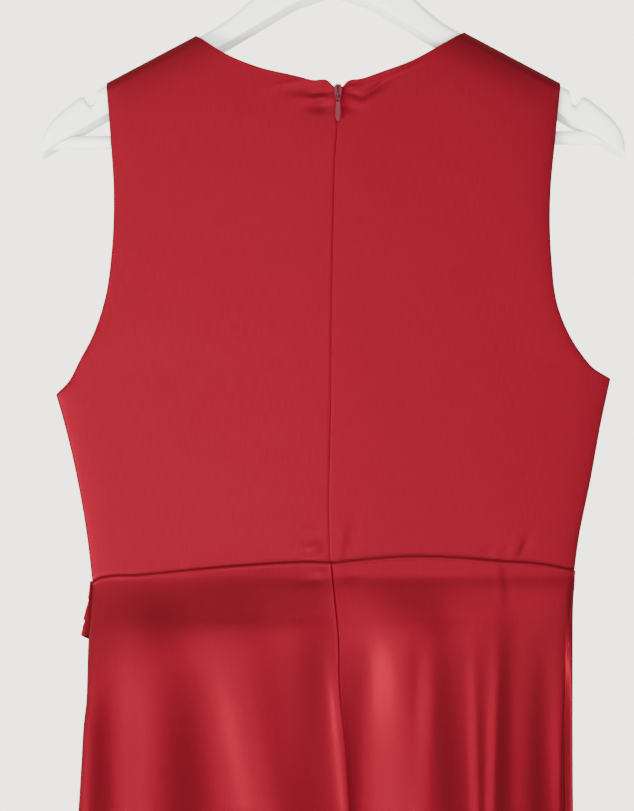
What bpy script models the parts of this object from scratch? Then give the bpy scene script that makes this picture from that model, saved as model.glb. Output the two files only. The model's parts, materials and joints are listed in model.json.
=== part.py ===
# Sleeveless satin maxi dress hanging on a white wooden hanger.
# Units are metres and +Z is up. The origin is the point where the hook bears on a rail.
# The back of the dress faces -Y and the wearer's right is +X.
# In the tables, x is in millimetres and level is in millimetres below the origin.

import math
from collections import namedtuple

import bmesh
import bpy
import numpy as np
from mathutils import Matrix

MM = 0.001

# Driving sizes
CLOTH_WALL = 1.2 * MM
SEAM_GAP = 0.3 * MM
WAIST_GAP = 0.5 * MM
HEM_LEVEL = 1605.0
HEM_WAVE = 3.0
HEM_WAVES = 5
WAIST_CENTRE_LEVEL = 550.0
WAIST_HALF = 184.0
CHEST_HALF = 190.0
ARM_THICKNESS = 12.4 * MM
SHOULDER_SLOPE = 0.53
SHOULDER_APEX = 91.5
SHOULDER_ROUND = 8.1
SHOULDER_EASE = 18.0
SPREAD_MIDDLE = 0.2
UNDERARM_SHARE = 0.40
NECK_SHARE = 0.58
BAR_RADIUS = 5.1 * MM
HOOK_WIRE = 3.8 * MM
HOOK_RADIUS = 21.5 * MM
HOOK_TURNS = (-72, 193.2)
HOOK_STEPS = 26
WOOD_TOP = 75.0

# Grid counts of the cloth
NECK_COLUMNS = (0, .13, .30, .48, .66, .82, .92, .968, .988, 1)
SHOULDER_COLUMNS = 6
BODICE_ROWS = (
    0, .06, .12, .19, .26, .33, .40, .46, .52, .58, .65, .72, .79, .86, .92, .955, .978, .989, .9963, 1,
)
SKIRT_BACK_COLUMNS = 22
SKIRT_FRONT_COLUMNS = 54
SKIRT_FRONT_CROWD = 0.5
SKIRT_ROWS = 21
SKIRT_ROW_POWER = 1.4

# Half steps between the spots whose difference gives a direction on the skirt
TURN_STEP = 0.4
LEVEL_STEP = 2.0

Spot = namedtuple("Spot", "x level")
Side = namedtuple("Side", "level left right")
Depth = namedtuple("Depth", "level back front")
Spread = namedtuple("Spread", "level slope left_turn right_turn")
Shift = namedtuple("Shift", "level x")
Gap = namedtuple("Gap", "share half_gap")
Turn = namedtuple("Turn", "share angle")
Flank = namedtuple("Flank", "top_x low_x width rise start")
Flare = namedtuple("Flare", "start_x end_x width out ease")
Pleat = namedtuple("Pleat", "drop near_out edge_out")
Slice = namedtuple("Slice", "x top bottom")
Corner = namedtuple("Corner", "half_share drop_share")
Colour = namedtuple("Colour", "red green blue roughness metallic")

# Outline of the bodice
ARMHOLE_LEFT = (
    Spot(-211.6, 421), Spot(-202.5, 412), Spot(-193, 394.6), Spot(-184.6, 379.3), Spot(-173.9, 348.7),
    Spot(-168.4, 310), Spot(-167, 268), Spot(-169.5, 226), Spot(-173, 183),
)
ARMHOLE_RIGHT = (
    Spot(211.4, 409), Spot(197.2, 400), Spot(189.6, 391), Spot(181.7, 379.3), Spot(171.4, 356),
    Spot(165.6, 315), Spot(164.9, 268), Spot(168.7, 226), Spot(173, 183),
)
SIDE_LEFT = (
    Spot(-WAIST_HALF, 563.5), Spot(-187.6, 532.3), Spot(-195.3, 486.4), Spot(-206, 440.5), Spot(-211.6, 421),
)
SIDE_RIGHT = (
    Spot(WAIST_HALF, 554.5), Spot(187, 532.3), Spot(196.2, 486.4), Spot(204.6, 440.5), Spot(211.4, 409),
)
BACK_NECK_LEFT = (
    Spot(3.5, 190.8), Spot(-1.4, 186.2), Spot(-4.6, 183.1), Spot(-15.8, 183), Spot(-25.5, 180.4),
    Spot(-60, 171.8), Spot(-82.9, 162), Spot(-105, 147.1),
)
BACK_NECK_RIGHT = (
    Spot(3.5, 190.8), Spot(7.6, 187.2), Spot(10.4, 184), Spot(21.3, 181.8), Spot(35.6, 176.8),
    Spot(60.9, 167.2), Spot(78.4, 157.5), Spot(100, 144.5),
)
FRONT_NECK_LEFT = (Spot(0, 281), Spot(-22, 262), Spot(-58, 222), Spot(-88, 180), Spot(-105, 147.1))
FRONT_NECK_RIGHT = (Spot(0, 281), Spot(22, 262), Spot(58, 222), Spot(85, 180), Spot(100, 144.5))
FRONT_ARMHOLE_INSET = 7.0
SHOULDER_TIP = 173.0

# Half the gap between the front and back edges of an armhole, from the underarm up
ARMHOLE_GAP = (Gap(0, .15), Gap(.08, 3.2), Gap(.25, 7.4), Gap(.5, 10), Gap(.75, 9.8), Gap(1, 8.1))

# Lines that run down the garment
BACK_SEAM = (
    Shift(188, 3.5), Shift(211, 3.1), Shift(240, 1.1), Shift(296, -.5), Shift(350, -1.5), Shift(425, -2.2),
    Shift(550, -2.2), Shift(578, .5), Shift(606, 3.1), Shift(640, 3.8), Shift(700, 8.9), Shift(740, 11.2),
    Shift(900, 15), Shift(1200, 12), Shift(1610, 4),
)
WAIST_BACK = (
    Spot(-WAIST_HALF, 563.5), Spot(-179, 560.6), Spot(-171, 558.8), Spot(-151, 558), Spot(-123, 555.3),
    Spot(-95, 552.5), Spot(-67, 550.2), Spot(-39, 548.3), Spot(-18, 547.6), Spot(-2, 548.2),
    Spot(20, 546.2), Spot(58, 543.4), Spot(97, 544.6), Spot(127, 547.2), Spot(158, 549.4),
    Spot(WAIST_HALF, 554.5),
)
WAIST_FRONT = (
    Spot(-WAIST_HALF, 563.5), Spot(-100, 567.5), Spot(0, 569), Spot(100, 564.5), Spot(WAIST_HALF, 554.5),
)
SKIRT_SIDES = (
    Side(540, WAIST_HALF, WAIST_HALF), Side(566, WAIST_HALF, WAIST_HALF), Side(577, 184.4, 183.1),
    Side(590, 185.2, 182.7), Side(610, 187, 182.6), Side(640, 187.8, 182.6), Side(655, 188.3, 182.6),
    Side(670, 190, 182.6), Side(700, 191.7, 182.7), Side(740, 194, 183), Side(850, 204, 189),
    Side(1000, 219, 202), Side(1200, 241, 222), Side(1400, 263, 243), Side(1612, 286, 265),
)
DEPTHS = (
    Depth(140, 20, 14), Depth(190, 20, 15), Depth(240, 20, 17), Depth(300, 19.5, 20), Depth(380, 18.5, 24),
    Depth(450, 16.5, 22), Depth(520, 13.6, 16.5), Depth(560, 12.4, 14.5), Depth(606, 18, 20),
    Depth(655, 26, 27), Depth(740, 38, 38), Depth(850, 50, 47), Depth(1000, 58, 54), Depth(1200, 63, 60),
    Depth(1400, 66, 64), Depth(1612, 68, 66),
)

# Across the back the cloth slopes a little from its middle, then turns round the side.
# The slope is a share of the depth, and a larger turn is tighter.
SPREADS = (
    Spread(140, .6, 10, 10), Spread(560, .6, 10, 10), Spread(606, .5, 10, 10), Spread(655, .38, 14, 8),
    Spread(740, .27, 16, 5), Spread(850, .25, 16, 5), Spread(1612, .2, 8, 5),
)

# Angles round the skirt: 0 at the centre back, 90 at the right side, 180 at the centre front
RIGHT_SEAM = (
    Turn(0, 82), Turn(.06, 78.5), Turn(.138, 73.9), Turn(.172, 73.1), Turn(.4, 71), Turn(1, 70),
)
LEFT_SEAM = 270.0

# Folds of the skirt, each side of a fold one flank. To the right the cloth comes out (+) or goes in (-).
BACK_FLANKS = (
    Flank(-206, -212, 8, 26, 596), Flank(-184, -182, 20, -20, 598), Flank(-161, -159, 8, 12, 558),
    Flank(-117, -113, 25, -27, 571), Flank(-96, -66, 13.5, 12, 594), Flank(-56, -37, 15, -8.5, 562),
    Flank(-18, -12, 13, -7, 567), Flank(2, 9, 7, 6, 596), Flank(19, 14, 9, -12, 583),
    Flank(35, 39, 16.5, 18.5, 555), Flank(71, 62.5, 8, 5, 591), Flank(79, 87, 15.5, -13, 557),
    Flank(116, 114, 7, 6, 599), Flank(130, 126, 8, -8, 565), Flank(150, 146, 9, -4, 578),
    Flank(178, 180, 12, 8, 588),
)
FRONT_FLANKS = (
    Flank(-160, -158, 12, 7, 640), Flank(-128, -126, 13, -10, 650), Flank(-95, -92, 14, 11, 640),
    Flank(-58, -54, 13, -9, 650), Flank(-22, -18, 14, 10, 645), Flank(16, 18, 13, -11, 640),
    Flank(52, 55, 14, 11, 650), Flank(88, 92, 13, -10, 645), Flank(120, 124, 12, 9, 650),
    Flank(152, 156, 11, -7, 640), Flank(98, 100, 45, 13, 560),
)
FLANK_TOP_LEVEL = 600.0
FLANK_LOW_LEVEL = 735.0
FLANK_FAN = 1.45
FLANK_EASE = 50.0
FLANK_EASE_POWER = 1.6
FLANK_TOP_WIDTH = 0.8
FLANK_HEM_RISE = 2.0
FLANK_HEM_WIDTH = 2.2
FLANK_SHARPNESS = 1.2

# The folds die out at the sides, and on the right before the side seam
LEFT_FADE = 12.0
RIGHT_FADE = 6.0
RIGHT_CLEAR = 0.12

# Where the back of the skirt leaves the waist seam at a slant before it hangs straight
FLARES = (Flare(-215, -12, 24, 24, 60),)
FLARE_REACH = 1.8

# Draped panel at the front waist: three pleats that stack at the left side seam
PLEATS = (Pleat(13.8, .2, 1.1), Pleat(29.3, .8, 3.9), Pleat(41.4, 2.6, 4.5))
PLEAT_STEP = 0.9
DRAPE_LEFT_ANGLE = 268.0
DRAPE_RIGHT_ANGLE = 98.0
DRAPE_COLUMNS = 26
DRAPE_SWAG = 0.62
DRAPE_RIGHT_SHARE = 0.45
DRAPE_RIGHT_OUT = 0.25

# Wooden hanger, right half. The bottom is the lower edge of the face at -Y.
HANGER_SLICES = (
    Slice(0, 75, 113), Slice(6, 75.8, 114), Slice(12, 78, 116), Slice(18, 82, 118.2), Slice(25, 88, 120.4),
    Slice(36, 97, 126), Slice(50, 108.6, 134.3), Slice(63.3, 119.6, 142.2), Slice(75, 130.2, 149.1),
    Slice(84, 136.9, 154.4), Slice(92, 141.9, 159.2), Slice(105, 149, 166.9), Slice(140, 167.3, 187.6),
    Slice(176, 186.3, 208.9), Slice(180.4, 188.8, 211.5), Slice(181.4, 195.4, 212),
    Slice(183, 198.6, 213.1), Slice(185.2, 199.6, 214.4), Slice(187.6, 198, 215.8),
    Slice(190.6, 193.8, 217.6), Slice(200, 198.8, 223.1), Slice(209, 206.2, 228.4), Slice(216, 213.5, 232.6),
    Slice(220.4, 221, 235.2), Slice(222.6, 228, 236),
)
WOOD_ROUND_STEPS = 6
WOOD_ROUND_SHARE = 0.45
BAR_SIDES = 16
UNDERSIDE_FALL = 5.0
LOWER_EDGE_APEX = 104.7
LOWER_EDGE_SLOPE = 0.592
HOOK_SHANK = (Spot(0, 66), Spot(.6, 60))
BAR_LEVEL_LEFT = 228.6
BAR_LEVEL_RIGHT = 224.6

# Zip
ZIP_TAPE_HALF_WIDTH = 8.0
ZIP_TAPE_WALL = 0.8 * MM
ZIP_TAPE_SKIRT_ROWS = 2
ZIP_TAPE_SKIRT_ROOM = 1.6 * MM
SLIDER_TOP_LEVEL = 185.8
SLIDER_HEIGHT = 11.4 * MM
SLIDER_WIDTH = 6.4 * MM
SLIDER_THICKNESS = 2.0 * MM
SLIDER_CORNERS = (Corner(.55, 0), Corner(1, .32), Corner(.8, .72), Corner(.45, 1))
BRIDGE_WIRE = 1.3 * MM
BRIDGE_STAND_OFF = 3.4 * MM
BRIDGE_FOOT_LEVELS = (187.0, 196.2)
BRIDGE_FOOT_DEPTH = 0.4 * MM
BRIDGE_SQUARENESS = 0.6
BRIDGE_STEPS = 12
PIVOT_STAND_OFF = 0.8 * MM
TAB_LENGTH = 19.6 * MM
TAB_WIDTH = 4.3 * MM
TAB_NECK_WIDTH = 3.6 * MM
TAB_THICKNESS = 1.0 * MM
TAB_SLOT_WIDTH = 2.1 * MM
TAB_SLOT_LENGTH = 4.0 * MM
TAB_SLOT_END = 0.5 * MM
TAB_BAR = 0.9 * MM
TAB_BAR_ROUND = 0.8
TAB_CORNERS = (Corner(.77, .204), Corner(.9, .45), Corner(1, .62))
TAB_END_HEIGHT = 1.5
TAB_ROUND_STEPS = 8
PIVOT_LEVEL = 194.5

SATIN = Colour(.42, .018, .032, .38, 0)
WHITE_PAINT = Colour(.83, .84, .81, .45, 0)
POLISHED_STEEL = Colour(.72, .72, .72, .22, 1)
RED_ENAMEL = Colour(.20, .012, .020, .30, 0)


def reading(rows, column, by="level"):
    """A smooth curve that reads one column of a table, at a value of the by column."""
    known = np.array([getattr(row, by) for row in rows], float)
    values = np.array([getattr(row, column) for row in rows], float)
    slopes = np.gradient(values, known)

    def at(wanted):
        place = min(max(wanted, known[0]), known[-1])
        i = min(int(np.searchsorted(known, place, side="right")) - 1, len(known) - 2)
        span = known[i + 1] - known[i]
        t = (place - known[i]) / span
        return float(
            (1 + 2 * t) * (1 - t) ** 2 * values[i]
            + t * (1 - t) ** 2 * span * slopes[i]
            + t * t * (3 - 2 * t) * values[i + 1]
            - t * t * (1 - t) * span * slopes[i + 1]
        )

    return at


def curve_through(spots):
    """A smooth curve through spots: a share of its length, 0 to 1, gives (x, level)."""
    knots = np.array(spots, float)
    along = np.concatenate([[0], np.cumsum(np.linalg.norm(np.diff(knots, axis=0), axis=1))])
    shares = along / along[-1]
    Knot = namedtuple("Knot", "share x level")
    rows = [Knot(share, *knot) for share, knot in zip(shares, knots)]
    read_x, read_level = reading(rows, "x", "share"), reading(rows, "level", "share")
    return lambda share: np.array([read_x(share), read_level(share)])


back_seam_x = reading(BACK_SEAM, "x")
back_depth = reading(DEPTHS, "back")
front_depth = reading(DEPTHS, "front")
spread_slope = reading(SPREADS, "slope")
left_turn = reading(SPREADS, "left_turn")
right_turn = reading(SPREADS, "right_turn")
skirt_left = reading(SKIRT_SIDES, "left")
skirt_right = reading(SKIRT_SIDES, "right")
waist_back = reading(WAIST_BACK, "level", "x")
waist_front = reading(WAIST_FRONT, "level", "x")
armhole_half_gap = reading(ARMHOLE_GAP, "half_gap", "share")
right_seam_angle = reading(RIGHT_SEAM, "angle", "share")


def material(name, colour):
    made = bpy.data.materials.new(name)
    made.use_nodes = True
    shader = made.node_tree.nodes["Principled BSDF"]
    shader.inputs["Base Color"].default_value = (colour.red, colour.green, colour.blue, 1)
    shader.inputs["Roughness"].default_value = colour.roughness
    shader.inputs["Metallic"].default_value = colour.metallic
    return made


def finish_mesh(name, bm, colour, collection, smooth_angle=40):
    """Turns a bmesh into an object with faces that point outwards."""
    bmesh.ops.recalc_face_normals(bm, faces=bm.faces)
    mesh = bpy.data.meshes.new(name)
    bm.to_mesh(mesh)
    bm.free()
    mesh.materials.append(material(name, colour))
    mesh.shade_smooth()
    mesh.set_sharp_from_angle(angle=math.radians(smooth_angle))
    made = bpy.data.objects.new(name, mesh)
    collection.objects.link(made)
    return made


def surface_normals(grid):
    """Unit normals of a grid of points, from the neighbours of each point."""
    across = np.gradient(grid, axis=1)
    down = np.gradient(grid, axis=0)
    normals = np.cross(across, down)
    return normals / np.linalg.norm(normals, axis=2, keepdims=True)


def unit(vectors):
    return vectors / np.linalg.norm(vectors, axis=-1, keepdims=True)


def cloth_wall(name, grid, normals, collection, wall=CLOTH_WALL, colour=SATIN):
    """A closed wall round a grid of middle points, half its thickness to each side."""
    rows, columns = grid.shape[:2]
    bm = bmesh.new()
    outer = [[bm.verts.new(p) for p in row] for row in grid + normals * wall / 2]
    inner = [[bm.verts.new(p) for p in row] for row in grid - normals * wall / 2]
    for r in range(rows - 1):
        for c in range(columns - 1):
            for face in (outer, inner):
                bm.faces.new((face[r][c], face[r][c + 1], face[r + 1][c + 1], face[r + 1][c]))
    edge = [(0, c) for c in range(columns)] + [(r, columns - 1) for r in range(1, rows)]
    edge += [(rows - 1, c) for c in range(columns - 2, -1, -1)] + [(r, 0) for r in range(rows - 2, 0, -1)]
    for (r, c), (r2, c2) in zip(edge, edge[1:] + edge[:1]):
        bm.faces.new((outer[r][c], outer[r2][c2], inner[r2][c2], inner[r][c]))
    return finish_mesh(name, bm, colour, collection)


def loft(name, sections, colour, collection):
    """A closed solid through rings that have the same number of points."""
    bm = bmesh.new()
    rings = [[bm.verts.new(p) for p in section] for section in sections]
    for first, second in zip(rings, rings[1:]):
        for i, vertex in enumerate(first):
            j = (i + 1) % len(first)
            bm.faces.new((vertex, first[j], second[j], second[i]))
    bm.faces.new(rings[0])
    bm.faces.new(rings[-1])
    return finish_mesh(name, bm, colour, collection)


def shoulder_level(x):
    """Level of the ridge that the cloth makes over the hanger's arms."""
    return SHOULDER_APEX + SHOULDER_SLOPE * abs(x)


def flat_spread(reach, level, side):
    """Share of the back's depth, from its middle (0) to its side (1): nearly flat, then a tight turn."""
    most = math.hypot(1, SPREAD_MIDDLE) - SPREAD_MIDDLE
    slope = (math.hypot(reach, SPREAD_MIDDLE) - SPREAD_MIDDLE) / most
    power = left_turn(level) if side < 0 else right_turn(level)
    turn = math.sqrt(1 - min(1, reach) ** power)
    return spread_slope(level) * (1 - slope) + (1 - spread_slope(level)) * turn


def round_spread(reach, level, side):
    """Share of the front's depth, from its middle (0) to its side (1), alike at all levels."""
    return math.sqrt(1 - reach * reach)


def over_shoulder(x, level, depth):
    """How far the cloth is from the middle plane: it rolls over the hanger's arm, then eases out."""
    under = max(0, level - shoulder_level(x)) * math.cos(math.atan(SHOULDER_SLOPE))
    left = 1 - min(1, under / SHOULDER_ROUND)
    seam = SEAM_GAP / MM / 2
    roll = seam + (SHOULDER_ROUND - seam) * math.sqrt(1 - left * left)
    ease = under / SHOULDER_EASE
    return roll + (depth - SHOULDER_ROUND) * ease / (1 + ease ** 3) ** (1 / 3)


def edge_curve(side_seam, armhole, inset=0.0):
    """The outer edge of a bodice panel from the waist up: its side seam, then its armhole."""
    seam, opening = curve_through(side_seam), curve_through(armhole)

    def at(v):
        if v <= UNDERARM_SHARE:
            return seam(v / UNDERARM_SHARE)
        share = (v - UNDERARM_SHARE) / (1 - UNDERARM_SHARE)
        spot = opening(share)
        spot[0] -= math.copysign(inset * math.sin(math.pi * share) ** 2, spot[0])
        return spot

    return at


def top_curve(neckline):
    """The top edge of a bodice panel from the centre out: its neckline, then its shoulder."""
    neck = curve_through(neckline)
    neck_x = neckline[-1].x

    def at(u):
        if u <= NECK_SHARE:
            return neck(u / NECK_SHARE)
        share = (u - NECK_SHARE) / (1 - NECK_SHARE)
        x = neck_x + share * (math.copysign(SHOULDER_TIP, neck_x) - neck_x)
        return np.array([x, shoulder_level(x)])

    return at


def patch(centre, edge, bottom, top, u, v):
    """A point between four edge curves that meet at the corners."""
    corners = (
        (1 - u) * (1 - v) * centre(0) + u * (1 - v) * edge(0)
        + (1 - u) * v * centre(1) + u * v * edge(1)
    )
    return (1 - u) * centre(v) + u * edge(v) + (1 - v) * bottom(u) + v * top(u) - corners


def bodice_half(face, side, columns, rows):
    """Middle points of half a bodice, from the centre out and from the waist up."""
    left = side < 0
    side_seam, armhole = (SIDE_LEFT, ARMHOLE_LEFT) if left else (SIDE_RIGHT, ARMHOLE_RIGHT)
    if face == "back":
        neckline = BACK_NECK_LEFT if left else BACK_NECK_RIGHT
        waist, depth, spread, outward, inset = waist_back, back_depth, flat_spread, -1, 0
        centre_x = back_seam_x
    else:
        neckline = FRONT_NECK_LEFT if left else FRONT_NECK_RIGHT
        waist, depth, spread, outward = waist_front, front_depth, round_spread, 1
        inset = FRONT_ARMHOLE_INSET
        centre_x = lambda level: 0.0
    edge = edge_curve(side_seam, armhole, inset)
    top = top_curve(neckline)
    waist_centre, waist_side = centre_x(WAIST_CENTRE_LEVEL), side_seam[0].x
    low, high = waist(waist_centre) - WAIST_GAP / MM / 2, neckline[0].level

    def centre(v):
        level = low + v * (high - low)
        return np.array([centre_x(level), level])

    def bottom(u):
        x = waist_centre + (waist_side - waist_centre) * math.sin(u * math.pi / 2)
        return np.array([x, waist(x) - WAIST_GAP / MM / 2])

    seam_y = SEAM_GAP / MM / 2
    grid = np.zeros((len(rows), len(columns), 3))
    for r, v in enumerate(rows):
        share = max(0, (v - UNDERARM_SHARE) / (1 - UNDERARM_SHARE))
        gap = max(seam_y, armhole_half_gap(share))
        inner_x, outer_x = centre(v)[0], edge(v)[0]
        for c, u in enumerate(columns):
            x, level = patch(centre, edge, bottom, top, u, v)
            reach = min(1, abs((x - inner_x) / (outer_x - inner_x)))
            y = gap + (depth(level) - gap) * spread(reach, level, side)
            grid[r, c] = x * MM, outward * over_shoulder(x, level, y) * MM, -level * MM
    return grid


def bodice_normals(grid, shares, rows, outward, seam_columns):
    """Outward normals, square to each seam so that its two rims lie face to face."""
    normals = surface_normals(grid)
    if normals[len(rows) // 2, len(shares) // 2][1] * outward < 0:
        normals = -normals
    for r, v in enumerate(rows):
        if v <= UNDERARM_SHARE:
            normals[r, seam_columns, 1] = 0
    for c, share in enumerate(shares):
        if abs(share) >= NECK_SHARE:
            normals[-1, c, 1] = 0
    normals[0, :, 2] = 0
    return unit(normals)


def bodice_columns():
    """Shares from the centre out, with a column at the shoulder's neck point."""
    neck = [NECK_SHARE * share for share in NECK_COLUMNS]
    step = (1 - NECK_SHARE) / SHOULDER_COLUMNS
    shoulder = [NECK_SHARE + step * i for i in range(1, SHOULDER_COLUMNS + 1)]
    return neck + shoulder


def back_bodice(name, side, collection):
    """One back bodice panel, cut off half a seam gap from the centre back."""
    columns = bodice_columns()
    grid = bodice_half("back", side, columns, BODICE_ROWS)
    grid[:, 0, 0] += side * SEAM_GAP / 2
    normals = bodice_normals(grid, columns, BODICE_ROWS, -1, [-1])
    normals[:, 0, 0] = 0
    return cloth_wall(name, grid, unit(normals), collection)


def front_bodice(collection):
    """The front bodice in one piece, from the left side seam to the right one."""
    columns = bodice_columns()
    left = bodice_half("front", -1, columns, BODICE_ROWS)[:, ::-1]
    right = bodice_half("front", 1, columns, BODICE_ROWS)
    grid = np.concatenate([left, right[:, 1:]], axis=1)
    shares = [-u for u in columns[::-1]] + columns[1:]
    normals = bodice_normals(grid, shares, BODICE_ROWS, 1, [0, -1])
    return cloth_wall("bodice_front", grid, normals, collection)


def flank_height(flanks, x, level):
    """How far the folds' flanks bring the cloth out, in millimetres."""
    total = 0.0
    for flank in flanks:
        if level <= flank.start:
            continue
        below = max(0, (level - FLANK_LOW_LEVEL) / (HEM_LEVEL - FLANK_LOW_LEVEL))
        upper = min(1, (level - FLANK_TOP_LEVEL) / (FLANK_LOW_LEVEL - FLANK_TOP_LEVEL))
        centre = flank.top_x + (flank.low_x - flank.top_x) * upper
        centre += flank.low_x * (FLANK_FAN - 1) * below
        share = (level - flank.start) / (HEM_LEVEL - flank.start)
        grown = (level - flank.start) / FLANK_EASE
        width = flank.width * (1 + (FLANK_HEM_WIDTH - 1) * share)
        width *= 1 + FLANK_TOP_WIDTH * math.exp(-2 * grown)
        rise = flank.rise * (1 - math.exp(-grown ** FLANK_EASE_POWER))
        rise *= 1 + (FLANK_HEM_RISE - 1) * share
        total += rise * 0.5 * (1 + math.tanh(FLANK_SHARPNESS * (x - centre) / width))
    return total


def flare_height(x, level):
    """How far the skirt leaves the waist seam at a slant before it hangs straight, in millimetres."""
    total = 0.0
    for flare in FLARES:
        below = max(0, level - waist_back(x)) / flare.ease
        window = math.tanh((x - flare.start_x) / flare.width) - math.tanh((x - flare.end_x) / flare.width)
        out = flare.out * below / (1 + below ** 3) ** (1 / 3)
        total += out * window / 2 * math.exp(-(below / FLARE_REACH) ** 3)
    return total


def skirt_spot(angle, level):
    """A middle point of the skirt at an angle round it, in metres."""
    turn = math.radians(angle)
    sine, cosine = math.sin(turn), math.cos(turn)
    x = sine * (skirt_right(level) if sine > 0 else skirt_left(level))
    if sine > 0:
        fade = min(1, RIGHT_FADE * max(0, cosine * cosine - RIGHT_CLEAR))
    else:
        fade = min(1, LEFT_FADE * cosine * cosine)
    if cosine > 0:
        y = -back_depth(level) * flat_spread(abs(sine), level, sine)
        y -= fade * (flank_height(BACK_FLANKS, x, level) + flare_height(x, level))
    else:
        y = -front_depth(level) * cosine + fade * flank_height(FRONT_FLANKS, x, level)
    return np.array([x * MM, y * MM, -level * MM])


def skirt_directions(angle, level):
    """Unit directions at a spot of the skirt: onwards round it, and out of its face."""
    onward = skirt_spot(angle + TURN_STEP, level) - skirt_spot(angle - TURN_STEP, level)
    upward = skirt_spot(angle, level - LEVEL_STEP) - skirt_spot(angle, level + LEVEL_STEP)
    return unit(onward), unit(np.cross(onward, upward))


def waist_level(angle):
    turn = math.radians(angle)
    x = math.sin(turn) * WAIST_HALF
    return waist_back(x) if math.cos(turn) > 0 else waist_front(x)


def skirt_level(angle, share):
    """Level at a share of the way from the waist seam to the hem."""
    hem = HEM_LEVEL + HEM_WAVE * math.sin(math.radians(angle) * HEM_WAVES)
    top = waist_level(angle) + WAIST_GAP / MM / 2
    return top + (hem - top) * share


def skirt_shares():
    """The rows of the skirt as shares of the way down, closer together at the top."""
    return [(r / SKIRT_ROWS) ** SKIRT_ROW_POWER for r in range(SKIRT_ROWS + 1)]


def skirt_angle_of(x, level):
    """The angle on the back of the skirt where it passes x."""
    half = skirt_right(level) if x > 0 else skirt_left(level)
    return math.degrees(math.asin(x / half))


def skirt_panel(name, start, end, columns, collection, crowd=0.0):
    """A skirt panel between two seam lines, each an angle as a function of the share down.

    A crowd above zero puts its columns closer together near the seams.
    """
    shares = skirt_shares()
    grid = np.zeros((len(shares), columns + 1, 3))
    normals = np.zeros_like(grid)
    for r, share in enumerate(shares):
        first, last = start(share), end(share)
        for c in range(columns + 1):
            across = c / columns
            across -= crowd * math.sin(2 * math.pi * across) / (2 * math.pi)
            angle = first + (last - first) * across
            level = skirt_level(angle, share)
            onward, normals[r, c] = skirt_directions(angle, level)
            grid[r, c] = skirt_spot(angle, level)
            if c == 0:
                grid[r, c] += onward * SEAM_GAP / 2
            if c == columns:
                grid[r, c] -= onward * SEAM_GAP / 2
    normals[0, :, 2] = 0
    return cloth_wall(name, grid, unit(normals), collection)


def centre_back_angle(share):
    level = WAIST_CENTRE_LEVEL + (HEM_LEVEL - WAIST_CENTRE_LEVEL) * share
    return skirt_angle_of(back_seam_x(level), level)


def drape_out(share, reach):
    """How far the draped panel stands off the skirt at a share of its depth."""
    drop = share * PLEATS[-1].drop
    start = 0.0
    for pleat in PLEATS:
        if drop <= pleat.drop:
            local = (drop - start) / (pleat.drop - start)
            return reach * (pleat.near_out + (pleat.edge_out - pleat.near_out) * local)
        start = pleat.drop
    return reach * PLEATS[-1].edge_out


def front_drape(collection):
    """Pleated panel over the front waist, deepest at the left side seam and in its swag."""
    drops = [0.0]
    for pleat in PLEATS:
        drops += [(drops[-1] + pleat.drop) / 2, pleat.drop, pleat.drop + PLEAT_STEP]
    drops = drops[:-1]
    shares = [drop / PLEATS[-1].drop for drop in drops]
    grid = np.zeros((len(shares), DRAPE_COLUMNS + 1, 3))
    normals = np.zeros_like(grid)
    for c in range(DRAPE_COLUMNS + 1):
        across = c / DRAPE_COLUMNS
        angle = DRAPE_LEFT_ANGLE + (DRAPE_RIGHT_ANGLE - DRAPE_LEFT_ANGLE) * across
        fall = 1 + DRAPE_SWAG * math.sin(math.pi * across) - (1 - DRAPE_RIGHT_SHARE) * across
        reach = 1 - (1 - DRAPE_RIGHT_OUT) * across
        for r, share in enumerate(shares):
            level = waist_level(angle) + SEAM_GAP / MM + share * fall * PLEATS[-1].drop
            normal = skirt_directions(angle, level)[1]
            normal[2] = 0
            normal = unit(normal)
            out = CLOTH_WALL + SEAM_GAP + drape_out(share, reach) * MM
            grid[r, c], normals[r, c] = skirt_spot(angle, level) + normal * out, normal
    return cloth_wall("waist_drape", grid, normals, collection)


def centre_back_y(x, level):
    """Y of the cloth's middle near the centre-back seam, of the bodice and of the skirt under it."""
    if level > waist_back(x):
        return skirt_spot(skirt_angle_of(x, level), level)[1]
    reach = abs(x - back_seam_x(level)) / CHEST_HALF
    return -over_shoulder(x, level, back_depth(level) * flat_spread(reach, level, x)) * MM


def zip_tape(collection):
    """Tape of the concealed zip, inside the centre back from the neck to below the waist."""
    angle = centre_back_angle(0)
    in_skirt = [skirt_level(angle, skirt_shares()[r]) for r in range(ZIP_TAPE_SKIRT_ROWS + 1)]
    levels = list(np.linspace(SLIDER_TOP_LEVEL + 6, in_skirt[0] - 8, 20)) + in_skirt
    offsets = [ZIP_TAPE_HALF_WIDTH * share for share in (-1, -.5, 0, .5, 1)]
    grid = np.zeros((len(levels), len(offsets), 3))
    for r, level in enumerate(levels):
        for c, offset in enumerate(offsets):
            x = back_seam_x(level) + offset
            grid[r, c] = x * MM, centre_back_y(x, level), -level * MM
    normals = surface_normals(grid)
    if normals[0, 0, 1] > 0:
        normals = -normals
    inside = np.full((len(levels), 1, 1), CLOTH_WALL / 2 + SEAM_GAP + ZIP_TAPE_WALL / 2)
    inside[-len(in_skirt):] += ZIP_TAPE_SKIRT_ROOM
    return cloth_wall("zip_tape", grid - normals * inside, normals, collection, ZIP_TAPE_WALL)


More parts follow.
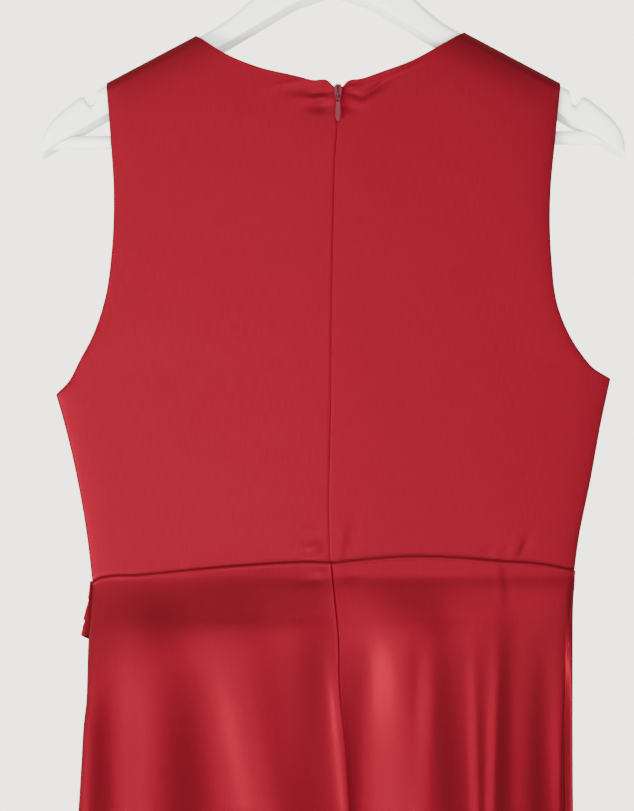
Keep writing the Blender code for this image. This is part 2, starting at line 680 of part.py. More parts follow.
def hanger_section(x, top, bottom):
    """Ring of one slice of the hanger: rounded top, and an underside that slopes away from -Y."""
    half = ARM_THICKNESS / 2
    top_z, near_z, far_z = -top * MM, -bottom * MM, -(bottom + UNDERSIDE_FALL) * MM
    round_height = min(half, (top_z - near_z) * WOOD_ROUND_SHARE)
    ring = [(x * MM, -half, near_z)]
    for i in range(WOOD_ROUND_STEPS + 1):
        turn = math.pi * i / WOOD_ROUND_STEPS
        ring.append((x * MM, -half * math.cos(turn), top_z - round_height * (1 - math.sin(turn))))
    ring.append((x * MM, half, far_z))
    return ring


def hanger_body(collection):
    """The two arms of the wooden hanger in one piece, with a notch near each tip."""
    right = [hanger_section(s.x, s.top, s.bottom) for s in HANGER_SLICES]
    left = [hanger_section(-s.x, s.top, s.bottom) for s in HANGER_SLICES[:0:-1]]
    return loft("hanger_body", left + right, WHITE_PAINT, collection)


def trouser_bar(collection):
    """Round bar between the arms, its ends cut to the slope of their undersides."""
    clearance = SEAM_GAP * math.hypot(1, LOWER_EDGE_SLOPE) / LOWER_EDGE_SLOPE
    ends = []
    for side, middle in ((-1, BAR_LEVEL_LEFT), (1, BAR_LEVEL_RIGHT)):
        ring = []
        for i in range(BAR_SIDES):
            turn = 2 * math.pi * i / BAR_SIDES
            y, z = BAR_RADIUS * math.cos(turn), -middle * MM + BAR_RADIUS * math.sin(turn)
            fall = UNDERSIDE_FALL * (y + ARM_THICKNESS / 2) / ARM_THICKNESS
            reach = (-z / MM - LOWER_EDGE_APEX - fall) / LOWER_EDGE_SLOPE * MM - clearance
            ring.append((side * reach, y, z))
        ends.append(ring)
    return loft("trouser_bar", ends, WHITE_PAINT, collection)


def hook_route():
    """Middle line of the hook from the wood up, round the crook to its free end."""
    centre_z = HOOK_WIRE / 2 - HOOK_RADIUS
    points = [(0, SEAM_GAP - WOOD_TOP * MM)]
    points += [(spot.x * MM, -spot.level * MM) for spot in HOOK_SHANK]
    first, last = HOOK_TURNS
    for i in range(HOOK_STEPS + 1):
        turn = math.radians(first + (last - first) * i / HOOK_STEPS)
        points.append((HOOK_RADIUS * math.cos(turn), centre_z + HOOK_RADIUS * math.sin(turn)))
    return points


def hanger_hook(collection):
    """Bent steel wire that hangs the dress on a rail."""
    curve = bpy.data.curves.new("hanger_hook", "CURVE")
    curve.dimensions = "3D"
    curve.bevel_depth = HOOK_WIRE / 2
    curve.bevel_resolution = 2
    curve.use_fill_caps = True
    route = hook_route()
    spline = curve.splines.new("POLY")
    spline.points.add(len(route) - 1)
    for point, (x, z) in zip(spline.points, route):
        point.co = (x, 0, z, 1)
    curve.materials.append(material("hanger_hook", POLISHED_STEEL))
    hook = bpy.data.objects.new("hanger_hook", curve)
    collection.objects.link(hook)
    return hook


def flat_outline(name, outlines, thickness):
    """A mesh object in the XZ plane from closed outlines, the later ones as holes."""
    curve = bpy.data.curves.new(name, "CURVE")
    curve.dimensions = "2D"
    curve.fill_mode = "BOTH"
    curve.extrude = thickness / 2
    for outline in outlines:
        spline = curve.splines.new("POLY")
        spline.points.add(len(outline) - 1)
        for point, (x, z) in zip(spline.points, outline):
            point.co = (x, z, 0, 1)
        spline.use_cyclic_u = True
    holder = bpy.data.objects.new(name, curve)
    bpy.context.scene.collection.objects.link(holder)
    mesh = bpy.data.meshes.new_from_object(holder.evaluated_get(bpy.context.evaluated_depsgraph_get()))
    bpy.data.objects.remove(holder)
    bm = bmesh.new()
    bm.from_mesh(mesh)
    bpy.data.meshes.remove(mesh)
    bmesh.ops.remove_doubles(bm, verts=bm.verts, dist=1e-6)
    bmesh.ops.transform(bm, matrix=Matrix.Rotation(math.radians(90), 4, "X"), verts=bm.verts)
    return bm


def corners(table, half, height):
    """Points down one side of an outline, from shares of its half width and its height."""
    return [(half * corner.half_share, -height * corner.drop_share) for corner in table]


def zip_front_y():
    """Y of the outer face of the back bodice at the slider."""
    return centre_back_y(back_seam_x(PIVOT_LEVEL), PIVOT_LEVEL) - CLOTH_WALL / 2


def zip_slider(collection):
    """Slider body with the bridge that holds the pull tab."""
    outline = corners(SLIDER_CORNERS, SLIDER_WIDTH / 2, SLIDER_HEIGHT)
    outline += corners(SLIDER_CORNERS[::-1], -SLIDER_WIDTH / 2, SLIDER_HEIGHT)
    x, top = back_seam_x(PIVOT_LEVEL) * MM, -SLIDER_TOP_LEVEL * MM
    back_y = zip_front_y() - SEAM_GAP
    body = flat_outline("slider_plate", [outline], SLIDER_THICKNESS)
    bmesh.ops.translate(body, verts=body.verts, vec=(x, back_y - SLIDER_THICKNESS / 2, top))
    plate = finish_mesh("zip_slider", body, RED_ENAMEL, collection)

    front_y = back_y - SLIDER_THICKNESS
    bridge = bpy.data.curves.new("slider_bridge", "CURVE")
    bridge.dimensions = "3D"
    bridge.bevel_depth = BRIDGE_WIRE / 2
    bridge.bevel_resolution = 1
    bridge.use_fill_caps = True
    spline = bridge.splines.new("POLY")
    high, low = BRIDGE_FOOT_LEVELS
    spline.points.add(BRIDGE_STEPS)
    for i, point in enumerate(spline.points):
        turn = math.pi * i / BRIDGE_STEPS
        rise = math.sin(turn) ** BRIDGE_SQUARENESS * BRIDGE_STAND_OFF
        z = -((high + low) / 2 - (low - high) / 2 * math.cos(turn)) * MM
        point.co = (x, front_y + BRIDGE_FOOT_DEPTH - rise, z, 1)
    holder = bpy.data.objects.new("slider_bridge", bridge)
    bpy.context.scene.collection.objects.link(holder)
    graph = bpy.context.evaluated_depsgraph_get()
    mesh = bpy.data.meshes.new_from_object(holder.evaluated_get(graph))
    bpy.data.objects.remove(holder)
    bm = bmesh.new()
    bm.from_mesh(mesh)
    bmesh.ops.remove_doubles(bm, verts=bm.verts, dist=1e-6)
    bm.to_mesh(mesh)
    bm.free()
    arch = bpy.data.objects.new("slider_bridge", mesh)
    arch.hide_render = True
    arch.display_type = "WIRE"
    helpers.objects.link(arch)
    join = plate.modifiers.new("bridge", "BOOLEAN")
    join.operation = "UNION"
    join.object = arch
    return plate


def pull_tab(collection):
    """Drop-shaped pull with a slot that the bridge passes through, hanging down the seam."""
    neck, half, end = TAB_NECK_WIDTH / 2, TAB_WIDTH / 2, TAB_WIDTH / 2 * TAB_END_HEIGHT
    outline = []
    for i in range(TAB_ROUND_STEPS + 1):
        turn = math.pi * i / TAB_ROUND_STEPS
        outline.append((neck * math.cos(turn), TAB_BAR / 2 - TAB_BAR * TAB_BAR_ROUND * (1 - math.sin(turn))))
    outline += corners(TAB_CORNERS, -half, TAB_LENGTH)
    for i in range(1, TAB_ROUND_STEPS):
        turn = math.pi + math.pi * i / TAB_ROUND_STEPS
        outline.append((half * math.cos(turn), end - TAB_LENGTH + end * math.sin(turn)))
    outline += corners(TAB_CORNERS[::-1], half, TAB_LENGTH)
    slot, low = TAB_SLOT_WIDTH / 2, -TAB_SLOT_LENGTH
    hole = [(-slot, -TAB_BAR / 2), (slot, -TAB_BAR / 2), (slot, low), (slot / 2, low - TAB_SLOT_END)]
    hole += [(-slot / 2, low - TAB_SLOT_END), (-slot, low)]
    tab = flat_outline("zip_pull_tab", [outline, hole], TAB_THICKNESS)
    made = finish_mesh("zip_pull_tab", tab, RED_ENAMEL, collection)
    made.location = (back_seam_x(PIVOT_LEVEL) * MM, pivot_y(), -PIVOT_LEVEL * MM)
    return made


def pivot_y():
    """Y of the axis that the pull tab swings on, between the slider and its bridge."""
    return zip_front_y() - SEAM_GAP - SLIDER_THICKNESS - PIVOT_STAND_OFF


for old in list(bpy.data.objects):
    bpy.data.objects.remove(old)
dress = bpy.data.collections.new("maxi_dress")
helpers = bpy.data.collections.new("helpers")
bpy.context.scene.collection.children.link(dress)
bpy.context.scene.collection.children.link(helpers)

back_bodice("bodice_back_left", -1, dress)
back_bodice("bodice_back_right", 1, dress)
front_bodice(dress)
skirt_panel("skirt_back_right", centre_back_angle, right_seam_angle, SKIRT_BACK_COLUMNS, dress)
skirt_panel(
    "skirt_front", right_seam_angle, lambda share: LEFT_SEAM, SKIRT_FRONT_COLUMNS, dress, SKIRT_FRONT_CROWD,
)
skirt_panel(
    "skirt_back_left",
    lambda share: LEFT_SEAM - 360,
    centre_back_angle,
    SKIRT_BACK_COLUMNS,
    dress,
)
front_drape(dress)
zip_tape(dress)
zip_slider(dress)
pull_tab(dress)
hanger_body(dress)
trouser_bar(dress)
hanger_hook(dress)
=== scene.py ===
# Red satin maxi dress on a white wooden hanger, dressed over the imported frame.
# Shapes are in millimetres: x runs to the wearer's right, level down from the hook's inner top.
import json
import math
import bmesh
import bpy
import numpy as np
from mathutils import Matrix, Vector


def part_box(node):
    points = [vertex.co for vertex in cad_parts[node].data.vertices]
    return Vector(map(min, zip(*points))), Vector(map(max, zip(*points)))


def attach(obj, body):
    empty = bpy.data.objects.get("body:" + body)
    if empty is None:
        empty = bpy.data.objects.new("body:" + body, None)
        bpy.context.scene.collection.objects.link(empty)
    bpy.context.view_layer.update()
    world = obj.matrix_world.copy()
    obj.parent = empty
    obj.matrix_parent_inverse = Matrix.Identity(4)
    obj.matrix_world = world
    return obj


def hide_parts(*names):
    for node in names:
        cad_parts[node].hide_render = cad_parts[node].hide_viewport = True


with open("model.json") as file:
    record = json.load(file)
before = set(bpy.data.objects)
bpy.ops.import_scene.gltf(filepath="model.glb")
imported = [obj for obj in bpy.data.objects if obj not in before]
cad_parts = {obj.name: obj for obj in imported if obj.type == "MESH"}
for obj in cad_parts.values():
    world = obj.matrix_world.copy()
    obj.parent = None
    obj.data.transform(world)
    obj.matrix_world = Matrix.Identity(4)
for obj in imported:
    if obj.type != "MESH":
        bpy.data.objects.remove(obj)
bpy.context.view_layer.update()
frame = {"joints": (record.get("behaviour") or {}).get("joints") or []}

mm = 0.001
cloth = bpy.data.collections.new("cloth")
hardware = bpy.data.collections.new("hardware")
for group in (cloth, hardware):
    bpy.context.scene.collection.children.link(group)

# Materials


def linearColour(hexCode):  # sRGB hex to the linear values that shaders take
    parts = [int(hexCode[i : i + 2], 16) / 255 for i in (1, 3, 5)]
    return [p / 12.92 if p <= 0.04045 else ((p + 0.055) / 1.055) ** 2.4 for p in parts] + [1]


def addNode(tree, kind, settings=None, **links):
    # settings gives properties and unlinked sockets by name or number, links gives what feeds a socket:
    # a node stands for its first output, and i1 is the socket that has the number 1
    node = tree.nodes.new(kind)
    for key, value in (settings or {}).items():
        if isinstance(key, str) and hasattr(node, key):
            setattr(node, key, value)
        else:
            node.inputs[key].default_value = value
    for key, source in links.items():
        socket = node.inputs[int(key[1:])] if key[0] == "i" and key[1:].isdigit() else node.inputs[key]
        tree.links.new(getattr(source, "outputs", [source])[0], socket)
    return node


def addNoise(tree, place, scale, detail, roughness=0.5):  # scale per metre along each axis
    stretch = addNode(tree, "ShaderNodeMapping", {"Scale": scale}, Vector=place)
    settings = {"Scale": 1.0, "Detail": detail, "Roughness": roughness}
    return addNode(tree, "ShaderNodeTexNoise", settings, Vector=stretch)


def mixColours(tree, factor, first, second):
    colours = {"data_type": "RGBA", 6: first, 7: second}
    return addNode(tree, "ShaderNodeMix", colours, Factor=factor).outputs[2]


def newMaterial(name):
    made = bpy.data.materials.new(name)
    made.use_nodes = True
    made.node_tree.nodes.clear()
    return made, made.node_tree


def finishMaterial(tree, shader):
    addNode(tree, "ShaderNodeOutputMaterial", Surface=shader)


satin = {
    "light": "#611920",  # deep dye: the bright studio lights lift it to the red that is seen
    "deep": "#54151A",  # between slubs
    "gloss": "#610015",  # what the long floats reflect
    "tapeLight": "#490A14",
    "tapeDeep": "#5F1019",
    "streakAcross": 1.1,  # mm, yarn streaks drawn wider than the 0.1 mm yarns so that they show
    "streakAlong": 14.0,
    "grain": 0.7,  # mm, fine unevenness between the streaks
    "grainShare": 0.4,
    "glossShare": 0.5,  # how much of the surface is floats
    "glossRoughness": 0.5,
    "yarnRoughness": 0.6,
    "bump": 0.16,
    "bumpDepth": 0.0004,
    "glossTint": (1.0, 0.02, 0.08),
}


def satinMaterial(name, light, deep, gloss):
    # polyester satin, woven with long warp floats: a coloured, soft and directional gloss
    made, tree = newMaterial(name)
    weave = addNode(tree, "ShaderNodeUVMap", {"uv_map": "weave"})
    across, along, fine = [1000 / satin[key] for key in ("streakAcross", "streakAlong", "grain")]
    streaks = addNoise(tree, weave, (across, along, 1), 2.0, 0.6)
    grain = addNoise(tree, weave, (fine, fine, 1), 1.0)
    relief = addNode(tree, "ShaderNodeMix", {"Factor": satin["grainShare"]}, A=streaks, B=grain)
    spread = addNode(tree, "ShaderNodeMapRange", {"From Min": 0.3, "From Max": 0.7}, Value=relief)
    colour = mixColours(tree, spread, linearColour(deep), linearColour(light))
    bumps = {"Strength": satin["bump"], "Distance": satin["bumpDepth"]}
    bump = addNode(tree, "ShaderNodeBump", bumps, Height=relief)
    dull = {"Roughness": satin["yarnRoughness"], "IOR": 1.5, "Specular IOR Level": 0.2}
    yarn = addNode(tree, "ShaderNodeBsdfPrincipled", dull, **{"Base Color": colour, "Normal": bump})
    bright = {"Metallic": 1.0, "Roughness": satin["glossRoughness"], "Base Color": linearColour(gloss)}
    floats = addNode(tree, "ShaderNodeBsdfPrincipled", bright, Normal=bump)
    for shader in (yarn, floats):
        shader.inputs["Specular Tint"].default_value = (*satin["glossTint"], 1)
    finishMaterial(tree, addNode(tree, "ShaderNodeMixShader", {"Fac": satin["glossShare"]}, i1=yarn, i2=floats))
    return made


def coatedMaterial(name, hexCode, grain, detail, darkest, bumps, settings):
    # an even coat: grain per metre, its detail, share of the colour where darkest, bump strength and depth
    made, tree = newMaterial(name)
    place = addNode(tree, "ShaderNodeTexCoord").outputs["Object"]
    uneven = addNoise(tree, place, grain, detail)
    paint = linearColour(hexCode)
    colour = mixColours(tree, uneven, paint, [c * darkest for c in paint[:3]] + [1])
    bump = addNode(tree, "ShaderNodeBump", {"Strength": bumps[0], "Distance": bumps[1]}, Height=uneven)
    links = {"Base Color": colour, "Normal": bump}
    finishMaterial(tree, addNode(tree, "ShaderNodeBsdfPrincipled", settings, **links))
    return made


def steelMaterial(name):
    # nickel-plated steel wire, drawn: bright with fine lines along it
    made, tree = newMaterial(name)
    place = addNode(tree, "ShaderNodeTexCoord").outputs["Object"]
    lines = addNoise(tree, place, (700, 700, 700), 2.0)
    gloss = addNode(tree, "ShaderNodeMapRange", {"To Min": 0.16, "To Max": 0.3}, Value=lines)
    settings = {"Metallic": 1.0, "Base Color": linearColour("#C9C9C6")}
    finishMaterial(tree, addNode(tree, "ShaderNodeBsdfPrincipled", settings, Roughness=gloss))
    return made


redSatin = satinMaterial("redSatin", satin["light"], satin["deep"], satin["gloss"])
zipTapeWeave = satinMaterial("zipTapeWeave", satin["tapeLight"], satin["tapeDeep"], satin["gloss"])
# satin lacquer sprayed on beech: nearly white, with faint brush and grain waviness
whiteLacquer = coatedMaterial(
    "whiteLacquer", "#F4F5F1", (60, 300, 300), 3.0, 0.94, (0.05, 0.0003), {"Roughness": 0.42, "IOR": 1.5}
)
# baked enamel on die-cast zinc: a hard dark gloss with slight orange peel
orangePeel = ((900, 900, 900), 2.0, 0.8, (0.08, 0.0001))
redSheen = {"IOR": 1.5, "Specular IOR Level": 0.6, "Specular Tint": (1.0, 0.3, 0.36, 1.0)}
maroonEnamel = coatedMaterial("maroonEnamel", "#2E070D", *orangePeel, {"Roughness": 0.3, **redSheen})
nickelSteel = steelMaterial("nickelSteel")
# polyester thread: matt, its colour made darker than the cloth as painted shade of the stitch holes and seam it
# sinks into
paintedShadeThread = coatedMaterial("paintedShadeThread", "#4A0A12", *orangePeel, {"Roughness": 0.95, **redSheen})
print("materials made")

# Curves and grids


def curveOf(rows, column=1):  # smooth reading of one column of a table, by its first column
    table = np.array(rows, float)
    knots, values = table[:, 0], table[:, column]
    slopes = np.gradient(values, knots)

    def at(where):
        place = np.clip(where, knots[0], knots[-1])
        i = np.clip(np.searchsorted(knots, place, side="right") - 1, 0, len(knots) - 2)
        span = knots[i + 1] - knots[i]
        t = (place - knots[i]) / span
        return (
            (1 + 2 * t) * (1 - t) ** 2 * values[i]
            + t * (1 - t) ** 2 * span * slopes[i]
            + t * t * (3 - 2 * t) * values[i + 1]
            - t * t * (1 - t) * span * slopes[i + 1]
        )

    return at


def pathOf(spots):  # a share of the way along the spots gives x and level
    spots = np.array(spots, float)
    along = np.concatenate([[0], np.cumsum(np.linalg.norm(np.diff(spots, axis=0), axis=1))])
    rows = np.column_stack([along / along[-1], spots])
    readX, readLevel = curveOf(rows, 1), curveOf(rows, 2)
    return lambda share: np.stack([readX(share), readLevel(share)], axis=-1)


def spaced(count, crowds=(), marks=()):
    # steps from 0 to 1, closer together at each crowd, which gives its place, width and strength
    fine = np.linspace(0, 1, 4001)
    density = 1 + sum(more * np.exp(-(((fine - place) / width) ** 2)) for place, width, more in crowds)
    total = np.cumsum(density * np.ones_like(fine))
    steps = np.interp(np.linspace(total[0], total[-1], count + 1), total, fine)
    for mark in marks:
        steps[np.argmin(abs(steps - mark))] = mark
    return steps


def unit(vectors):  # the same directions with length 1
    return vectors / np.maximum(np.linalg.norm(vectors, axis=-1, keepdims=True), 1e-12)


def gridNormals(grid, facing):  # facing is -1 for the back of the dress and 1 for its front
    normals = unit(np.cross(np.gradient(grid, axis=1), np.gradient(grid, axis=0)))
    middle = normals[grid.shape[0] // 2, grid.shape[1] // 2]
    return normals if middle[1] * facing > 0 else -normals


def softBump(distance, width):  # 1 at no distance, fading out past its width
    return np.exp(-((distance / width) ** 2))


def newObject(name, data, group):
    made = bpy.data.objects.new(name, data)
    group.objects.link(made)
    return made


def meshFrom(name, bm, materials):  # ends a bmesh as a mesh with these materials
    mesh = bpy.data.meshes.new(name)
    bm.to_mesh(mesh)
    bm.free()
    for material in materials:
        mesh.materials.append(material)
    return mesh


def evaluatedMesh(holder):  # what curves or modifiers make, as a plain mesh
    graph = bpy.context.evaluated_depsgraph_get()
    return bpy.data.meshes.new_from_object(holder.evaluated_get(graph))


def smoothPiece(name, mesh, sharpFrom, group):  # edges steeper than sharpFrom degrees stay crisp
    mesh.shade_smooth()
    mesh.set_sharp_from_angle(angle=math.radians(sharpFrom))
    return newObject(name, mesh, group)


def shell(name, grid, normals, wall, rounding, weave, material):
    # outer and inner skin of a cloth panel, joined by a rim that is round where the edge is free
    rows, columns = grid.shape[:2]
    index = np.arange(rows * columns).reshape(rows, columns)
    rim = np.concatenate([index[0], index[1:, -1], index[-1, -2::-1], index[-2:0:-1, 0]])
    inside = np.concatenate([index[1], index[1:, -2], index[-2, -2::-1], index[-2:0:-1, 1]])
    flat, flatNormals = grid.reshape(-1, 3), normals.reshape(-1, 3)
    outwards = flat[rim] - flat[inside]
    outwards = unit(outwards - flatNormals[rim] * np.sum(outwards * flatNormals[rim], axis=1, keepdims=True))
    edge = flat[rim] + outwards * (rounding.reshape(-1)[rim] * wall / 2)[:, None]
    count = rows * columns  # points in each skin, the rim's own points follow them
    points = np.concatenate([flat + flatNormals * wall / 2, flat - flatNormals * wall / 2, edge])
    a, b = index[:-1, :-1].ravel(), index[:-1, 1:].ravel()
    c, d = index[1:, 1:].ravel(), index[1:, :-1].ravel()
    faces = [np.stack([a, b, c, d], 1), np.stack([a, d, c, b], 1) + count]
    here = np.arange(len(rim))
    following = np.roll(here, -1)
    faces.append(np.stack([rim, 2 * count + here, 2 * count + following, rim[following]], 1))
    faces.append(np.stack([2 * count + here, rim + count, rim[following] + count, 2 * count + following], 1))
    mesh = bpy.data.meshes.new(name)
    mesh.from_pydata(points.tolist(), [], np.concatenate(faces).tolist())
    bm = bmesh.new()
    bm.from_mesh(mesh)
    bmesh.ops.recalc_face_normals(bm, faces=bm.faces)
    bm.to_mesh(mesh)
    bm.free()
    flatWeave = weave.reshape(-1, 2)
    places = np.concatenate([flatWeave, flatWeave, flatWeave[rim]])
    layer = mesh.uv_layers.new(name="weave")
    corners = np.zeros(len(mesh.loops), np.int32)
    mesh.loops.foreach_get("vertex_index", corners)
    layer.data.foreach_set("uv", places[corners].astype(np.float32).ravel())
    mesh.materials.append(material)
    return smoothPiece(name, mesh, 65, cloth)


# Cut and hang of the dress, the same sizes as its solids

body = {
    "wall": 0.9,
    "seamGap": 0.3,
    "waistGap": 0.14,
    "waistLevel": 550.0,  # at the centre back
    "waistHalf": 184.0,
    "chestHalf": 190.0,
    "hemLevel": 1605.0,
    "hemWave": 3.0,
    "hemWaves": 5,  # all round
    "seamRounding": 0.1,  # of a rim that lies against another, where a free edge has 1
    "spreadMiddle": 0.2,  # how softly the two slopes meet at the centre back
    "shoulderApex": 91.5,  # level of the ridge over the hanger's arms at the centre
    "shoulderSlope": 0.53,
    "shoulderRound": 8.1,  # roll of the cloth over the arms
    "shoulderEase": 18.0,  # further down it eases out to its full depth
    "shoulderTip": 173.0,
    "underarm": 0.40,  # share of the outer edge that is side seam
    "neck": 0.58,  # share of the top edge that is neckline
    "frontInset": 7.0,  # the front's armholes are cut in further
}
edges = {  # x and level
    "armholeLeft": [
        (-211.6, 421), (-202.5, 412), (-193, 394.6), (-184.6, 379.3), (-173.9, 348.7),
        (-168.4, 310), (-167, 268), (-169.5, 226), (-173, 183),
    ],
    "armholeRight": [
        (211.4, 409), (197.2, 400), (189.6, 391), (181.7, 379.3), (171.4, 356),
        (165.6, 315), (164.9, 268), (168.7, 226), (173, 183),
    ],
    "sideLeft": [(-184, 563.5), (-187.6, 532.3), (-195.3, 486.4), (-206, 440.5), (-211.6, 421)],
    "sideRight": [(184, 554.5), (187, 532.3), (196.2, 486.4), (204.6, 440.5), (211.4, 409)],
    "backNeckLeft": [
        (3.5, 190.8), (-1.4, 186.2), (-4.6, 183.1), (-15.8, 183), (-25.5, 180.4), (-60, 171.8),
        (-82.9, 162), (-105, 147.1),
    ],
    "backNeckRight": [
        (3.5, 190.8), (7.6, 187.2), (10.4, 184), (21.3, 181.8), (35.6, 176.8), (60.9, 167.2),
        (78.4, 157.5), (100, 144.5),
    ],
    "frontNeckLeft": [(0, 281), (-22, 262), (-58, 222), (-88, 180), (-105, 147.1)],
    "frontNeckRight": [(0, 281), (22, 262), (58, 222), (85, 180), (100, 144.5)],
}
# share up the armhole, how far its edge stands from the middle plane
armholeHalfGap = curveOf([(0, 0.15), (0.08, 3.2), (0.25, 7.4), (0.5, 10), (0.75, 9.8), (1, 8.1)])
backSeamX = curveOf([  # level, x
    (188, 3.5), (211, 3.1), (240, 1.1), (296, -0.5), (350, -1.5), (425, -2.2), (550, -2.2), (578, 0.5),
    (606, 3.1), (640, 3.8), (700, 8.9), (740, 11.2), (900, 15), (1200, 12), (1610, 4),
])
waistBack = curveOf([  # x, level
    (-184, 563.5), (-179, 560.6), (-171, 558.8), (-151, 558), (-123, 555.3), (-95, 552.5), (-67, 550.2),
    (-39, 548.3), (-18, 547.6), (-2, 548.2), (20, 546.2), (58, 543.4), (97, 544.6), (127, 547.2), (158, 549.4),
    (184, 554.5),
])
waistFront = curveOf([(-184, 563.5), (-100, 567.5), (0, 569), (100, 564.5), (184, 554.5)])
skirtSides = [  # level, half width to the left, half width to the right
    (540, 184, 184), (566, 184, 184), (577, 184.4, 183.1), (590, 185.2, 182.7), (610, 187, 182.6),
    (640, 187.8, 182.6), (655, 188.3, 182.6), (670, 190, 182.6), (700, 191.7, 182.7), (740, 194, 183),
    (850, 204, 189), (1000, 219, 202), (1200, 241, 222), (1400, 263, 243), (1612, 286, 265),
]
skirtLeft, skirtRight = curveOf(skirtSides, 1), curveOf(skirtSides, 2)
depths = [  # level, how far the back and the front stand from the middle plane
    (140, 20, 14), (190, 20, 15), (240, 20, 17), (300, 19.5, 20), (380, 18.5, 24), (450, 16.5, 22),
    (520, 13.6, 16.5), (560, 12.4, 14.5), (606, 18, 20), (655, 26, 27), (740, 38, 38), (850, 50, 47),
    (1000, 58, 54), (1200, 63, 60), (1400, 66, 64), (1612, 68, 66),
]
spreads = [  # level, share of the back's depth that slopes, how tightly its left and right side turn
    (140, 0.6, 10, 10), (560, 0.6, 10, 10), (606, 0.5, 9, 14), (655, 0.38, 44, 6), (740, 0.27, 50, 4),
    (850, 0.25, 40, 4), (1612, 0.2, 8, 5),
]
spreadSlope, leftTurn, rightTurn = curveOf(spreads, 1), curveOf(spreads, 2), curveOf(spreads, 3)
backDepth, frontDepth = curveOf(depths, 1), curveOf(depths, 2)
# share down the skirt, angle round it
rightSeamAngle = curveOf([(0, 84), (0.06, 79.4), (0.138, 73.9), (0.172, 73.1), (0.4, 71), (1, 70)])

# Small creases: x, level, half width, half length, lean in degrees, height
backCreases = [
    # puckers beside the top of the zip
    (-9, 192, 2.2, 8.5, 82, -1.7), (-10, 202.5, 3.4, 8, 86, -2.4), (-15, 197, 2.2, 8, 84, 1),
    (-24, 189.5, 3, 12, 80, -0.9), (15, 193, 2, 7, -66, -1.5), (13.5, 203.5, 2.6, 5, 88, -1.4),
    (32, 188.5, 2.6, 13, 52, -1.5), (14, 188.5, 1.8, 6, 74, 0.8), (24, 198.5, 3.2, 12, 64, 0.7),
    # edge of the turned-in neck
    (-32, 184.5, 1.8, 22, 79, 0.5), (50, 176.5, 1.8, 18, 66, 0.4),
    # left of the centre-back seam above the waist
    (-14, 538.5, 4.5, 6.5, 30, 1.5), (-17, 531, 2.4, 9, 75, -1.5), (-15, 519, 2.4, 9, 84, -1.3),
    (-17, 543, 2.2, 7, 80, -1.2),
    # gathered a little by the waist seam on the right
    (118, 541, 2.2, 6, 35, -0.8), (131, 541.5, 2.2, 6, 35, -0.9), (139, 540, 3, 7, 30, 0.6),
    (146, 536, 3.2, 9, 30, -1.1),
    # right of the centre-back seam above the waist
    (13, 530, 4, 22, 14, -0.9), (7, 536, 3.2, 16, 8, 0.6),
]
frontCreases = [
    (-60, 470, 9, 70, -14, 1.2), (-25, 500, 7, 55, -8, -1.1), (48, 480, 9, 65, 12, 1.2),
    (80, 505, 7, 45, 16, -1.0), (-12, 330, 8, 40, 20, -0.9), (15, 325, 8, 40, -20, -0.9),
    (-130, 430, 10, 34, 52, 1.1), (132, 425, 10, 34, -52, 1.1),
]
skirtCreases = [
    # a pressed edge under the waist seam
    (126, 563, 3.5, 14, -5, 0.6), (132, 565, 3.5, 14, -5, -0.6),
    # the seam allowance inside shows as a faint line
    (-53, 591.5, 1.3, 40, 79, 0.22),
    # puckers under the waist seam, then hollows between the first folds
    (-9, 556.5, 4.5, 4, 0, 0.8), (-16, 562.5, 3, 10, 80, -0.8), (14, 558.5, 3.4, 8, 75, -0.9),
    (123, 566, 20, 14, -4, 0.9), (89, 589, 20, 16, -20, -1.2), (104, 605, 14, 22, 0, 0.6),
    (7, 610, 10, 25, 0, -0.5),
]


def satinPanel(name, grid, normals, rounding, across, down):  # across and down place its weave
    weave = np.stack([across, -down], -1) * mm
    return shell(name, grid * mm, normals, body["wall"] * mm, rounding, weave, redSatin)


def creaseHeight(rows, x, level):
    total = 0
    for centreX, centreLevel, across, along, lean, height in rows:
        turn = math.radians(lean)
        dx, dl = x - centreX, level - centreLevel
        over = dx * math.cos(turn) + dl * math.sin(turn)
        down = -dx * math.sin(turn) + dl * math.cos(turn)
        total = total + height * np.exp(-((over / across) ** 2) - (down / along) ** 2)
    return total


# Bodice

bodice = {
    "rows": 150,
    "columns": 84,
    "seamDip": 0.4,  # the cloth pulls in at the centre-back seam
    "seamDipWidth": 1.0,
    "waistDip": 0.9,
    "waistDipWidth": 1.6,
}


def flatSpread(reach, level, side):  # share of the back's depth: nearly flat, then a tight turn at the side
    middle, reach = body["spreadMiddle"], np.clip(reach, 0, 1)
    slope = (np.hypot(reach, middle) - middle) / (math.hypot(1, middle) - middle)
    turn = np.sqrt(1 - reach ** np.where(side < 0, leftTurn(level), rightTurn(level)))
    return spreadSlope(level) * (1 - slope) + (1 - spreadSlope(level)) * turn


def shoulderLevel(x):
    return body["shoulderApex"] + body["shoulderSlope"] * abs(x)


def overShoulder(x, level, depth):  # the cloth rolls over the hanger's arm, then eases out to its depth
    under = np.maximum(0, level - shoulderLevel(x)) * math.cos(math.atan(body["shoulderSlope"]))
    seam, radius = body["seamGap"] / 2, body["shoulderRound"]
    roll = seam + (radius - seam) * np.sqrt(1 - (1 - np.minimum(1, under / radius)) ** 2)
    ease = under / body["shoulderEase"]
    return roll + (depth - radius) * ease / (1 + ease**3) ** (1 / 3)


